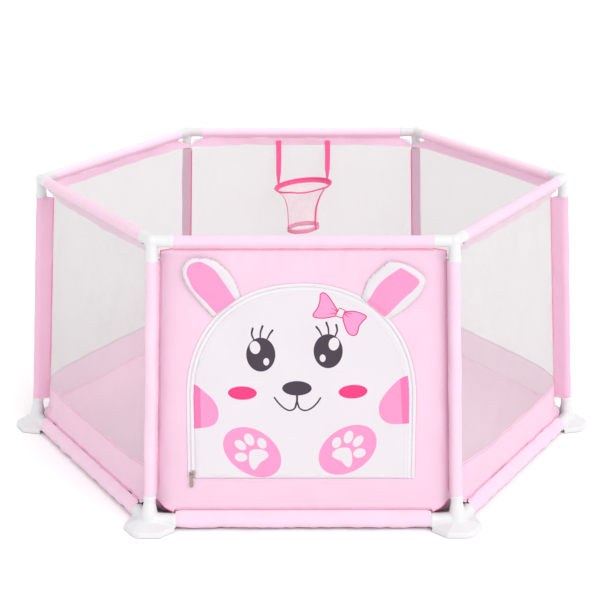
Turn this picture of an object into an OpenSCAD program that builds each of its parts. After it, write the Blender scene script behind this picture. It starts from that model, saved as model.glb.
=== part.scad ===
// Six-sided baby playpen. A push-together tube frame carries a fabric fence with five mesh
// windows, a front panel with a zipped rabbit-face door, a floor sheet and a small net hoop.
// Millimetres, +Z up, origin on the ground at the middle of the pen, door panel facing -Y.

/* [Frame] */
// Length of a top rail, from corner to corner
side_top = 600; // [585:5:605]
// Length of a bottom rail, from corner to corner
side_bottom = 640; // [635:5:660]
// Height of the top rails above the bottom rails
frame_rise = 594; // [585:1:620]
// Height of the bottom rails above the ground
rail_height = 19; // [19:1:22]
// Outside diameter of the tubes
tube_d = 18; // [16:0.5:18]
// Wall thickness of the tubes
tube_wall = 1.1; // [0.9:0.1:2]

/* [Corner connectors] */
// Outside diameter of the top connector's arms
top_arm_d = 24; // [23:0.5:26]
// Length of the top connector's arms, from the corner
top_arm = 43; // [38:1:46]
// Outside diameter of the base connector's rail arms
base_arm_d = 32; // [30:1:32]
// Length of the base connector's arms, from the corner
base_arm = 56; // [50:1:58]
// Outside diameter of the base connector's post arm
post_arm_d = 25; // [24:0.5:27]
// Reach of the foot beyond the corner
foot_reach = 52; // [46:1:56]
// Thickness of the foot at its edge
foot_edge = 11; // [8:1:12]
// Diameter of the rubber pad under the foot
pad_d = 42; // [36:1:44]

/* [Fabric] */
// Outside diameter of the sleeves on the top rails and the posts
sleeve_d = 24; // [23.5:0.5:25]
// Outside diameter of the loose sleeves on the bottom rails
bottom_sleeve_d = 32; // [30:1:32]
// Thickness of the panel fabric
cloth = 2; // [1.6:0.1:2.4]
// Thickness of the mesh
mesh_cloth = 1; // [0.8:0.1:1.2]
// Height of the fabric band under the mesh windows
bottom_band = 104; // [90:1:115]
// Height of the fabric band over the mesh windows
top_band = 24; // [20:1:30]
// Width of the fabric bands beside the mesh windows
side_band = 24; // [22:1:35]
// How far the mesh window's top corners are cut down
corner_drop = 22; // [20:1:30]
// How far the mesh window's top corners are cut in
corner_run = 36; // [32:1:45]
// Thickness of the floor sheet
floor_cloth = 2.5; // [2:0.1:2.9]

/* [Door] */
// Half of the door flap's width
door_half = 221; // [210:1:224]
// Height of the door's hinge seam above the bottom rail
door_foot = 92; // [85:1:110]
// Height at which the door's straight sides end
door_shoulder = 262; // [262:1:275]
// Rise of the arch above the straight sides
door_arch = 234; // [220:1:237]
// Sideways place of the door on its panel
door_x = -4; // [-8:1:8]
// Width of the zip tape
zip_width = 10.4; // [10:0.1:12]

/* [Ears] */
// Length of the upright left ear
ear_length = 128; // [100:1:130]
// Length of the right ear, up to its folded tip
folded_ear_length = 108; // [80:1:112]
// Half of an ear's width
ear_half = 41; // [28:1:42]
// Padded thickness of an ear
ear_pad = 5; // [3:0.5:6]
// Lean of the ears away from the upright
ear_lean = 37; // [33:1:40]

/* [Hoop] */
// Radius of the hoop's band
hoop_r = 70; // [66:1:71]
// Height of the hoop's band
hoop_band = 12; // [10:1:14]
// Length of the net below the band
net_drop = 108; // [90:1:120]
// Radius of the net's open hem
net_hem_r = 39; // [34:1:42]
// Sideways place of the hoop on its panel
hoop_x = -4; // [-20:1:20]
// Distance between the hanging straps
strap_gap = 128; // [124:1:130]
// Width of a hanging strap
strap_w = 14; // [10:1:15]

/* [Hidden] */
// Every corner and every panel has its own numbered nodes; panel 1 is the door's.
CORNERS = [1 : 6];
PANELS = [1 : 6];
MESH_PANELS = [2 : 6];
HOOP_PANEL = 4;

$fn = 64;
white_plastic = "white";
pink_cloth = "lightpink";
print_white = "whitesmoke";
hot_pink = "hotpink";

// The hexagon's flats lean in by panel_lean and its corners by post_lean.
apothem_top = side_top * cos(30);
apothem_bottom = side_bottom * cos(30);
panel_lean = atan((apothem_bottom - apothem_top) / frame_rise);
panel_len = norm([apothem_bottom - apothem_top, frame_rise]);
post_lean = atan((side_bottom - side_top) / frame_rise);
post_len = norm([side_bottom - side_top, frame_rise]);
side_tilt = atan((side_bottom - side_top) / 2 / panel_len);

bore_gap = 0.1;
tube_inset_top = 16;
tube_inset_base = 20;
bore_r = tube_d / 2 + bore_gap;
lip = 1.2;
hub_d = top_arm_d + 2;
base_hub_d = base_arm_d + 0.8;
foot_drop = 0.6;
foot_low = -base_arm_d / 2 - foot_drop;
pad_h = rail_height + foot_low;
foot_side = [30, 46];
foot_tip_half = 8;
foot_heel = [-13, 57];
pad_x = 18;

// Where the sleeves stop short of the connectors.
sleeve_gap = 1;
sleeve_bore_r = tube_d / 2 + 0.3;
top_sleeve_half = side_top / 2 - top_arm - sleeve_gap;
bottom_sleeve_half = side_bottom / 2 - base_arm - sleeve_gap;
post_sleeve_low = base_arm + 4;
post_sleeve_high = post_len - top_arm - 3;
corner_clear = post_arm_d / 2 + 1.5;
// From a post's axis to the seam that closes its pocket, towards the pen's middle.
pocket_seam = 27;
loose_wall = 1.5;

tape_gap = 0.5;
tape_in = door_half + tape_gap;
tape_out = tape_in + zip_width;
tape_thick = 1;
coil_w = 2.4;
coil_top = 1.2;
door_hinge_gap = 2.2;
arch_power = 2.2;
arch_steps = 48;

slider_w = 9;
slider_l = 12;
slider_back = 0.8;
slider_front = 4.6;
lug_front = 7.6;
pin_height = 6.2;
pin_r = 0.8;
pull_w = 8;
pull_l = 24;
pull_thick = 1.4;
slider_x = -(door_half + tape_gap + zip_width / 2);
slider_v = door_foot + 10;

ear_base_half = 36;
ear_shoulder = 74;
ear_gap = 0.8;
ear_seat = [146, 456.5];

hoop_v = 469;
hoop_n = -78;
band_thick = 4;
net_thick = 1.2;
strap_v = 573;
strap_n = -2.6;
strap_thick = 1.2;
strap_end_gap = 0.6;

// Half of the panel's width at height v.
function post_x(v) = side_bottom / 2 - v * tan(side_tilt);

// Panel frame: X along the rail, Y up along the leaning panel, Z outwards.
module on_panel(i) {
    rotate([0, 0, 60 * (i - 1)])
        translate([0, -apothem_bottom, rail_height])
            rotate([90 - panel_lean, 0, 0])
                children();
}

// Upright frame at height v and offset n on panel i: Z up, -Y outwards.
module beside_panel(i, v, n) {
    rotate([0, 0, 60 * (i - 1)])
        translate([0,
            -apothem_bottom + v * sin(panel_lean) - n * cos(panel_lean),
            rail_height + v * cos(panel_lean) + n * sin(panel_lean)])
            children();
}

// Corner k stands to the right of panel k, with X pointing outwards.
module at_corner(k, radius, height) {
    rotate([0, 0, 60 * k - 120])
        translate([radius, 0, height])
            children();
}

module tube(length) {
    difference() {
        cylinder(d = tube_d, h = length);
        translate([0, 0, -1])
            cylinder(d = tube_d - 2 * tube_wall, h = length + 2);
    }
}

module sleeve(outer_r, inner_r, length) {
    difference() {
        cylinder(r = outer_r, h = length);
        translate([0, 0, -1])
            cylinder(r = inner_r, h = length + 2);
    }
}

// A wedge from the post's round to a seam at distance reach along X, half thick at the seam.
module wedge(round_r, reach, half) {
    polygon([
        [round_r * cos(80), round_r * sin(80)],
        [round_r * cos(80), -round_r * sin(80)],
        [reach, -half],
        [reach, half]]);
}

// The pocket round a post: round outside, and drawn in to a seam along X.
module post_pocket(length) {
    difference() {
        union() {
            cylinder(r = sleeve_d / 2, h = length);
            linear_extrude(length)
                wedge(sleeve_d / 2 - 1, pocket_seam, 1);
        }
        translate([0, 0, -1])
            cylinder(r = sleeve_bore_r, h = length + 2);
        translate([0, 0, -1])
            linear_extrude(length + 2)
                wedge(sleeve_bore_r - 1, pocket_seam - 6, 0.3);
    }
}

// A connector arm along Z, with a chamfered lip.
module arm(diameter, length) {
    cylinder(d = diameter, h = length - lip);
    translate([0, 0, length - lip])
        cylinder(d1 = diameter, d2 = diameter - 2 * lip, h = lip);
}

module socket_bore(start, length) {
    translate([0, 0, start])
        cylinder(r = bore_r, h = length);
}

// The two rail directions leave a corner at 120 degrees on each side of X.
module along_rails() {
    for (side = [-1, 1])
        rotate([0, 0, side * 120])
            rotate([0, 90, 0])
                children();
}

module top_connector(k) {
    color(white_plastic)
        at_corner(k, side_top, rail_height + frame_rise)
            difference() {
                union() {
                    sphere(d = hub_d);
                    along_rails() arm(top_arm_d, top_arm);
                    rotate([0, 180 - post_lean, 0]) arm(top_arm_d, top_arm);
                }
                along_rails() socket_bore(tube_inset_top - 1, top_arm);
                rotate([0, 180 - post_lean, 0]) socket_bore(tube_inset_top - 1, top_arm);
            }
}

module foot_outline() {
    polygon([
        [foot_reach, -foot_tip_half], [foot_reach, foot_tip_half],
        foot_side, foot_heel,
        [foot_heel[0], -foot_heel[1]], [foot_side[0], -foot_side[1]]]);
}

// Sloping foot that runs out from the hub to a chamfered toe.
module foot() {
    translate([0, 0, foot_low])
        hull() {
            linear_extrude(foot_edge) foot_outline();
            cylinder(d = post_arm_d, h = base_arm_d * 0.75, $fn = 32);
        }
}

module base_connector(k) {
    color(white_plastic)
        at_corner(k, side_bottom, rail_height)
            difference() {
                union() {
                    foot();
                    sphere(d = base_hub_d);
                    along_rails() arm(base_arm_d, base_arm);
                    rotate([0, -post_lean, 0]) arm(post_arm_d, base_arm);
                    rotate([0, -post_lean, 0])
                        cylinder(d1 = base_arm_d, d2 = post_arm_d, h = base_arm_d);
                }
                along_rails() socket_bore(tube_inset_base - 1, base_arm);
                rotate([0, -post_lean, 0]) socket_bore(tube_inset_base - 1, base_arm);
            }
}

module foot_pad(k) {
    color("gainsboro")
        at_corner(k, side_bottom, 0)
            translate([pad_x, 0, 0])
                cylinder(d1 = pad_d, d2 = pad_d - 2 * pad_h, h = pad_h);
}

module top_tube(i) {
    half = side_top / 2 - tube_inset_top;
    color(white_plastic)
        on_panel(i)
            translate([-half, panel_len, 0])
                rotate([0, 90, 0])
                    tube(2 * half);
}

module bottom_tube(i) {
    half = side_bottom / 2 - tube_inset_base;
    color(white_plastic)
        on_panel(i)
            translate([-half, 0, 0])
                rotate([0, 90, 0])
                    tube(2 * half);
}

module post_tube(k) {
    color(white_plastic)
        at_corner(k, side_bottom, rail_height)
            rotate([0, -post_lean, 0])
                translate([0, 0, tube_inset_base])
                    tube(post_len - tube_inset_base - tube_inset_top);
}

// Flat cloth between the sleeves. notch is how far it stops below the top rail at the corners.
module cover_outline(notch) {
    low = bottom_sleeve_d / 2 - 1;
    high = panel_len - sleeve_d / 2 + 1;
    cut = base_arm - 11;
    left = sleeve_d / 2 + 0.3;
    right = sleeve_d / 2 - 1.5;
    polygon([
        [-bottom_sleeve_half, low],
        [bottom_sleeve_half, low],
        [post_x(cut) - corner_clear, cut],
        [post_x(post_sleeve_low) - corner_clear, post_sleeve_low],
        [post_x(post_sleeve_low) - right, post_sleeve_low],
        [post_x(post_sleeve_high) - right, post_sleeve_high],
        [post_x(post_sleeve_high) - corner_clear, post_sleeve_high],
        [post_x(panel_len - notch) - corner_clear, panel_len - notch],
        [top_sleeve_half, panel_len - notch],
        [top_sleeve_half, high],
        [-top_sleeve_half, high],
        [-top_sleeve_half, panel_len - notch],
        [-post_x(panel_len - notch) + corner_clear, panel_len - notch],
        [-post_x(post_sleeve_high) + corner_clear, post_sleeve_high],
        [-post_x(post_sleeve_high) + left, post_sleeve_high],
        [-post_x(post_sleeve_low) + left, post_sleeve_low],
        [-post_x(post_sleeve_low) + corner_clear, post_sleeve_low],
        [-post_x(cut) + corner_clear, cut]]);
}

module window_outline() {
    high = panel_len - top_band;
    polygon([
        [-post_x(bottom_band) + side_band, bottom_band],
        [post_x(bottom_band) - side_band, bottom_band],
        [post_x(high - corner_drop) - side_band, high - corner_drop],
        [post_x(high) - side_band - corner_run, high],
        [-post_x(high) + side_band + corner_run, high],
        [-post_x(high - corner_drop) + side_band, high - corner_drop]]);
}

// The three sleeves of one panel: top rail, bottom rail, and the post at its right.
module cover_sleeves() {
    translate([-top_sleeve_half, panel_len, 0])
        rotate([0, 90, 0])
            sleeve(sleeve_d / 2, sleeve_bore_r, 2 * top_sleeve_half);
    translate([-bottom_sleeve_half, 0, 0])
        rotate([0, 90, 0])
            sleeve(bottom_sleeve_d / 2, bottom_sleeve_d / 2 - loose_wall, 2 * bottom_sleeve_half);
    translate([side_bottom / 2, 0, 0])
        rotate([0, 0, side_tilt])
            translate([0, post_sleeve_low, 0])
                rotate([-90, 0, 0])
                    rotate([0, 0, 120])
                        post_pocket(post_sleeve_high - post_sleeve_low);
}

module sheet(thickness) {
    translate([0, 0, -thickness / 2])
        linear_extrude(thickness)
            children();
}

module wall_cover(i) {
    color(pink_cloth)
        on_panel(i) {
            cover_sleeves();
            sheet(cloth)
                difference() {
                    cover_outline(sleeve_d + 4);
                    window_outline();
                }
        }
}

module mesh_window(i) {
    color("lightgray")
        on_panel(i)
            sheet(mesh_cloth)
                window_outline();
}

// Door outline grown by grow: straight sides, then a superellipse arch, from height foot up.
module arch(grow, foot) {
    half = door_half + grow;
    rise = door_arch + grow;
    power = 2 / arch_power;
    translate([door_x, 0])
        polygon(concat(
            [[-half, foot], [half, foot]],
            [for (s = [0 : arch_steps])
                let (a = 180 * s / arch_steps)
                [half * sign(cos(a)) * pow(abs(cos(a)), power),
                    door_shoulder + rise * pow(sin(a), power)]]));
}

module front_cover() {
    color(pink_cloth)
        on_panel(1) {
            cover_sleeves();
            sheet(cloth)
                difference() {
                    cover_outline(sleeve_d / 2 + 2);
                    arch(tape_out - door_half, door_foot);
                }
        }
}

module floor_sheet() {
    color("thistle")
        cylinder(r = (apothem_bottom - bottom_sleeve_d / 2 - 2) / cos(30), h = floor_cloth, $fn = 6);
}

// The tape runs up both sides and round the arch, with the zip's coil along its middle.
module zip_tape() {
    mid = (tape_in + tape_out) / 2 - door_half;
    color(print_white)
        on_panel(1) {
            sheet(tape_thick)
                difference() {
                    arch(tape_out - door_half, door_foot);
                    arch(tape_in - door_half, door_foot - 1);
                }
            linear_extrude(coil_top)
                difference() {
                    arch(mid + coil_w / 2, door_foot);
                    arch(mid - coil_w / 2, door_foot - 1);
                }
        }
}

module door_flap() {
    color(print_white)
        on_panel(1)
            sheet(cloth)
                arch(0, door_foot + door_hinge_gap);
}

// Zip slider: a body with a channel over the coil, and two lugs that hold the pull's pin.
module zip_slider() {
    lug_w = 1.6;
    lug_l = 4;
    channel = coil_w + 0.8;
    color("silver")
        on_panel(1)
            translate([door_x + slider_x, slider_v, 0]) {
                difference() {
                    translate([-slider_w / 2, -slider_l / 2, slider_back])
                        cube([slider_w, slider_l, slider_front - slider_back]);
                    translate([-channel / 2, -slider_l / 2 - 1, 0])
                        cube([channel, slider_l + 2, coil_top + 0.6]);
                }
                for (side = [-1, 1])
                    translate([side * (slider_w - lug_w) / 2 - lug_w / 2, -lug_l / 2, slider_back])
                        cube([lug_w, lug_l, lug_front - slider_back]);
                translate([-slider_w / 2, 0, pin_height])
                    rotate([0, 90, 0])
                        cylinder(r = pin_r, h = slider_w, $fn = 24);
            }
}

// Pull tab: a short eye on the pin, and a wide tab that starts below the slider's body.
module zip_pull() {
    eye_w = slider_w - 2 * 1.6 - 0.6;
    eye_r = pin_r + 0.05;
    color("silver")
        on_panel(1)
            translate([door_x + slider_x, slider_v, pin_height])
                difference() {
                    union() {
                        rotate([0, 90, 0])
                            translate([0, 0, -eye_w / 2])
                                cylinder(r = eye_r + 0.7, h = eye_w, $fn = 24);
                        translate([-eye_w / 2, -slider_l, -pull_thick / 2])
                            cube([eye_w, slider_l - 0.9, pull_thick]);
                        translate([-pull_w / 2, -pull_l, -pull_thick / 2])
                            cube([pull_w, pull_l - slider_l / 2 - 3, pull_thick]);
                    }
                    rotate([0, 90, 0])
                        translate([0, 0, -slider_w / 2])
                            cylinder(r = eye_r, h = slider_w, $fn = 24);
                    translate([0, -pull_l + 5, -pull_thick])
                        cylinder(r = 2, h = 2 * pull_thick, $fn = 24);
                }
}

// An ear's outline from its seam upwards: a bullet, cut straight where the tip folds back.
module ear_outline(cut) {
    tip = ear_length - ear_shoulder;
    polygon(concat(
        [[-ear_base_half, 0], [ear_base_half, 0]],
        [for (s = [0 : 24])
            let (a = 180 * s / 24)
            [ear_half * cos(a), min(cut, ear_shoulder + tip * sin(a))]]));
}

// side is -1 for the ear at the left of the face and 1 for the right.
module ear(side, cut) {
    color(print_white)
        on_panel(1)
            translate([door_x + side * ear_seat[0], ear_seat[1], cloth / 2 + ear_gap])
                rotate([0, 0, -side * ear_lean])
                    linear_extrude(ear_pad)
                        ear_outline(cut);
}

module left_ear() {
    ear(-1, ear_length);
}

module right_ear() {
    ear(1, folded_ear_length);
}

// The straps slope inwards from the seam under the top rail to the back of the hoop.
module strap(side) {
    reach = strap_gap / 2;
    end_n = hoop_n + sqrt(pow(hoop_r, 2) - pow(reach, 2));
    end_v = hoop_v + hoop_band / 2 + strap_end_gap;
    length = norm([strap_v - end_v, strap_n - end_n]);
    slope = atan((strap_n - end_n) / (strap_v - end_v));
    neck = 26;
    color(hot_pink)
        on_panel(HOOP_PANEL)
            translate([hoop_x + side * reach, strap_v, strap_n])
                rotate([slope, 0, 0])
                    sheet(strap_thick)
                        polygon([
                            [-strap_w / 2, 0], [-strap_w / 2, neck - length], [-3, -length],
                            [3, -length], [strap_w / 2, neck - length], [strap_w / 2, 0]]);
}

module left_strap() {
    strap(1);
}

module right_strap() {
    strap(-1);
}

module hoop_place() {
    beside_panel(HOOP_PANEL, hoop_v, hoop_n)
        translate([hoop_x, 0, 0])
            children();
}

module hoop_band() {
    color(hot_pink)
        hoop_place()
            rotate_extrude()
                translate([hoop_r - band_thick / 2, -hoop_band / 2])
                    square([band_thick, hoop_band]);
}

// The net narrows under the band and then hangs straight to its hem.
module hoop_net() {
    top = -hoop_band / 2 - 0.2;
    neck_v = top - 0.32 * net_drop;
    outer = [
        [hoop_r - 1, top], [hoop_r - 5, top - 0.12 * net_drop],
        [net_hem_r + 9, neck_v + 0.06 * net_drop], [net_hem_r + 2, neck_v - 0.05 * net_drop],
        [net_hem_r, top - 0.5 * net_drop], [net_hem_r, top - net_drop]];
    color("pink")
        hoop_place()
            rotate_extrude()
                polygon(concat(outer,
                    [for (s = [len(outer) - 1 : -1 : 0]) outer[s] - [net_thick, 0]]));
}

for (k = CORNERS) {
    top_connector(k);
    base_connector(k);
    foot_pad(k);
    post_tube(k);
}
for (i = PANELS) {
    top_tube(i);
    bottom_tube(i);
}
for (i = MESH_PANELS) {
    wall_cover(i);
    mesh_window(i);
}
front_cover();
floor_sheet();
zip_tape();
door_flap();
zip_slider();
zip_pull();
left_ear();
right_ear();
left_strap();
right_strap();
hoop_band();
hoop_net();
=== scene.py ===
"""The looks of the six-sided playpen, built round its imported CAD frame.

Each panel has its own coordinates in millimetres: x along the rail, v up the leaning panel from the
bottom rail's axis, and n outwards. on_panel() turns them into places in the shared frame, in metres.
"""

import math

import bmesh
import bpy
import numpy as np
from mathutils import Matrix, Vector
from mathutils.geometry import delaunay_2d_cdt


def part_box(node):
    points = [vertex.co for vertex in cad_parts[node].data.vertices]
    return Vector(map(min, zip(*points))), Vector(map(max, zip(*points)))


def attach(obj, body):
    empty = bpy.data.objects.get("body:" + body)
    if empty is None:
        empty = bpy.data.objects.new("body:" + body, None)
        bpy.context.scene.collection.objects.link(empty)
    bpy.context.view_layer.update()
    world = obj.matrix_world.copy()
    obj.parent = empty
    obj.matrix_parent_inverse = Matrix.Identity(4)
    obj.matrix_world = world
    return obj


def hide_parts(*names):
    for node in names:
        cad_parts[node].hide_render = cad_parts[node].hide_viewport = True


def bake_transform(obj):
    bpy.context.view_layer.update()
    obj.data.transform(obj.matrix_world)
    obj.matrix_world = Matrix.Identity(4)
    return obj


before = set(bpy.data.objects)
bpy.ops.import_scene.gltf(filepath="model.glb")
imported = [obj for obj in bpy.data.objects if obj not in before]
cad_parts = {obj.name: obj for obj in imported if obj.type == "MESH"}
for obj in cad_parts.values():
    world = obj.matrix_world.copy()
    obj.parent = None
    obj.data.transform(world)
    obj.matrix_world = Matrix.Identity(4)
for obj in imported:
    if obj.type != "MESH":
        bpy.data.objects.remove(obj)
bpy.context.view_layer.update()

MM = 0.001
PANELS = range(1, 7)
MESH_PANELS = range(2, 7)
FAR_PANELS = (3, 4, 5)
UP = np.array([0.0, 0.0, 1.0])

# ---------------------------------------------------------------- places taken from the CAD frame


def middle(node):
    low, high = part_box(node)
    return (low + high) / 2 / MM


low_rail = middle("bottom_tube_1")
high_rail = middle("top_tube_1")
APOTHEM = -low_rail.y
RAIL_Z = low_rail.z
LEAN = math.atan2(high_rail.y - low_rail.y, high_rail.z - low_rail.z)
PANEL_LEN = math.hypot(high_rail.y - low_rail.y, high_rail.z - low_rail.z)
HALF_LOW = APOTHEM * math.tan(math.radians(30))
HALF_HIGH = -high_rail.y * math.tan(math.radians(30))
TOP_Z = high_rail.z

# How far a connector's middle lies beyond a rail's end, and where the sleeves stop short of it.
TOP_SOCKET = 16.0
TOP_BARE = 41.5
LOW_SOCKET = 20.0
LOW_BARE = 54.5
TOP_SLEEVE_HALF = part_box("top_tube_1")[1].x / MM + TOP_SOCKET - TOP_BARE
LOW_SLEEVE_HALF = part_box("bottom_tube_1")[1].x / MM + LOW_SOCKET - LOW_BARE
POST_SLEEVE_LOW = 55.0
POST_SLEEVE_HIGH = PANEL_LEN - TOP_BARE
CLOTH_CORNER_LOW = 38.0
CLOTH_CORNER_HIGH = PANEL_LEN - 37.0
SLEEVE_R = 11.6
LOW_SLEEVE_R = 16.2
SEAM_DROP = 16.0
LOW_SEAM = 25.0
# Each post's pocket closes at a seam, this far along the panel and behind it.
SEAM_IN = 14.0
SEAM_BACK = -24.2
POCKET = 28.0

DOOR_X = -4.0
DOOR_HALF = 221.0
DOOR_FOOT = 94.2
DOOR_SHOULDER = 262.0
DOOR_ARCH = 234.0
ZIP_MID = 5.7
ARCH_POWER = 2.2


def panel_axes(i):
    """Origin, rail direction, direction up the panel and outward normal of panel i."""
    a = math.radians(60 * (i - 1))
    along = np.array([math.cos(a), math.sin(a), 0.0])
    out = np.array([math.sin(a), -math.cos(a), 0.0])
    up = -math.sin(LEAN) * out + math.cos(LEAN) * UP
    normal = math.cos(LEAN) * out + math.sin(LEAN) * UP
    return out * APOTHEM + UP * RAIL_Z, along, up, normal


def on_panel(i, x, v, n):
    origin, along, up, normal = panel_axes(i)
    x, v, n = (np.asarray(a, float)[..., None] for a in np.broadcast_arrays(x, v, n))
    return MM * (origin + x * along + v * up + n * normal)


def on_cloth(i, points, height, lift=0.0):
    """Points of panel i, at the height that a function gives there, plus a lift."""
    x, v = points[:, 0], points[:, 1]
    return on_panel(i, x, v, height(x, v) + lift)


def post_x(v):
    """Half of a panel's width at height v, measured to the posts' axes."""
    return HALF_LOW - (HALF_LOW - HALF_HIGH) * np.asarray(v, float) / PANEL_LEN


def seam_x(v):
    """Half of the distance between a panel's two pocket seams at height v."""
    return post_x(v) - SEAM_IN


def smooth(t):
    t = np.clip(t, 0, 1)
    return t * t * (3 - 2 * t)


def sink(x, v, reach):
    """How far the cloth is drawn back towards the pockets' seams. It is flat along both rails."""
    aside = np.maximum(seam_x(v) - np.abs(x), 0)
    ends = smooth((v - LOW_SEAM) / (CLOTH_CORNER_LOW - LOW_SEAM)) * smooth((PANEL_LEN - SEAM_DROP - v) / 22)
    return SEAM_BACK * np.exp(-aside / reach) * ends


def on_post(k, angle, radius, height):
    """A point round post k: angle 0 faces away from the pen's middle, height runs up the post."""
    a = math.radians(60 * k - 120)
    out = np.array([math.cos(a), math.sin(a), 0.0])
    low = out * 2 * HALF_LOW + UP * RAIL_Z
    high = out * 2 * HALF_HIGH + UP * TOP_Z
    axis = (high - low) / np.linalg.norm(high - low)
    away = out - axis * (out @ axis)
    away /= np.linalg.norm(away)
    side = np.cross(axis, away)
    same_shape = np.broadcast_arrays(angle, radius, height)
    angle, radius, height = (np.asarray(t, float)[..., None] for t in same_shape)
    return MM * (low + axis * height + radius * (np.cos(angle) * away + np.sin(angle) * side))


# ---------------------------------------------------------------- curves and random folds


def ripple(seed, points, length, stretch=(1.0, 1.0), waves=14):
    """Smooth random height of about one, from waves of about that length in millimetres."""
    rng = np.random.default_rng(seed)
    p = np.asarray(points, float) / np.asarray(stretch, float)
    total = np.zeros(p.shape[:-1])
    for _ in range(waves):
        a = rng.uniform(0, math.pi)
        size = length * rng.uniform(0.6, 1.7)
        phase = rng.uniform(0, 2 * math.pi)
        total += np.sin(p @ np.array([math.cos(a), math.sin(a)]) * 2 * math.pi / size + phase)
    return total / math.sqrt(waves / 2)


def puckers(seed, along, length):
    """Random gathers along a seam."""
    along = np.asarray(along, float)
    return ripple(seed, np.stack([along, np.zeros_like(along)], -1), length)


def spline(points, closed=False, steps=6):
    """A smooth curve through the points (Catmull-Rom)."""
    p = np.array(points, float)
    if closed:
        p = np.vstack([p[-1], p, p[:2]])
    else:
        p = np.vstack([2 * p[0] - p[1], p, 2 * p[-1] - p[-2]])
    t = np.linspace(0, 1, steps, endpoint=False)[:, None]
    out = []
    for a, b, c, d in zip(p, p[1:], p[2:], p[3:]):
        out.append(0.5 * (2 * b + (c - a) * t + (2 * a - 5 * b + 4 * c - d) * t ** 2
                          + (3 * b - a - 3 * c + d) * t ** 3))
    out = np.vstack(out)
    return out if closed else np.vstack([out, points[-1]])


def ellipse(centre, half, turn=0.0, steps=40):
    a = np.linspace(0, 2 * math.pi, steps, endpoint=False)
    x, y = half[0] * np.cos(a), half[1] * np.sin(a)
    c, s = math.cos(math.radians(turn)), math.sin(math.radians(turn))
    return np.stack([centre[0] + c * x - s * y, centre[1] + s * x + c * y], -1)


def outwards(line, closed):
    """Unit normals of a line, to the left of its direction."""
    if closed:
        step = np.roll(line, -1, 0) - np.roll(line, 1, 0)
    else:
        step = np.gradient(line, axis=0)
    step = step / np.maximum(np.linalg.norm(step, axis=1), 1e-9)[:, None]
    return np.stack([-step[:, 1], step[:, 0]], -1)


def stroke(points, width, steps=6):
    """The outline of a brush stroke with round ends. width is one number, or one for each end."""
    line = spline(points, steps=steps)
    first, last = width if hasattr(width, "__len__") else (width, width)
    half = np.linspace(first, last, len(line))[:, None] / 2
    side = outwards(line, False)
    caps = []
    for at, size, start in ((-1, last / 2, 0), (0, first / 2, math.pi)):
        ahead = np.array([side[at][1], -side[at][0]])
        a = np.linspace(math.pi / 2, -math.pi / 2, 7)[1:-1, None]
        turn = 1 if start == 0 else -1
        caps.append(line[at] + size * turn * (np.cos(a) * ahead + np.sin(a) * side[at]))
    return np.vstack([line + side * half, caps[0], (line - side * half)[::-1], caps[1]])


def grown(loop, by):
    """A closed loop moved outwards by a distance."""
    loop = leftwards(loop)
    return loop - outwards(loop, True) * by


def dense(loop, step, closed=True):
    """The loop again with points at most step apart."""
    loop = np.array(loop, float)
    ends = np.roll(loop, -1, 0) if closed else loop[1:]
    out = []
    for a, b in zip(loop, ends):
        n = max(1, int(math.ceil(np.linalg.norm(b - a) / step)))
        out.append(a + (b - a) * np.linspace(0, 1, n, endpoint=False)[:, None])
    out = np.vstack(out)
    return out if closed else np.vstack([out, loop[-1]])


def lengths(line):
    """The length along a line at each of its points."""
    return np.concatenate([[0], np.cumsum(np.linalg.norm(np.diff(line, axis=0), axis=1))])


def picked(values, along, where):
    """The values at some lengths along a line, from its points' values and lengths."""
    return np.stack([np.interp(where, along, column) for column in values.T], -1)


def far_from(points, loop, closed=True):
    """Distance of each point from a line."""
    a = np.array(loop, float)
    b = np.roll(a, -1, 0) if closed else a[1:]
    a = a if closed else a[:-1]
    best = np.full(len(points), np.inf)
    for s, e in zip(a, b):
        d = e - s
        t = np.clip(((points - s) @ d) / max(d @ d, 1e-12), 0, 1)
        best = np.minimum(best, np.linalg.norm(points - s - t[:, None] * d, axis=1))
    return best


def arch(grow, foot=DOOR_FOOT, steps=64):
    """The door's outline grown by a distance, from its right foot over the arch to its left foot."""
    half, rise = DOOR_HALF + grow, DOOR_ARCH + grow
    a = np.linspace(0, math.pi, steps + 1)
    x = half * np.sign(np.cos(a)) * np.abs(np.cos(a)) ** (2 / ARCH_POWER)
    v = DOOR_SHOULDER + rise * np.sin(a) ** (2 / ARCH_POWER)
    over = np.stack([x, v], -1)
    legs = np.linspace(foot, DOOR_SHOULDER, 22)[:-1]
    right = np.stack([np.full_like(legs, half), legs], -1)
    left = np.stack([np.full_like(legs, -half), legs], -1)[::-1]
    line = np.vstack([right, over, left])
    line[:, 0] += DOOR_X
    return dense(line, 12.0, closed=False)


# ---------------------------------------------------------------- meshes


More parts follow.
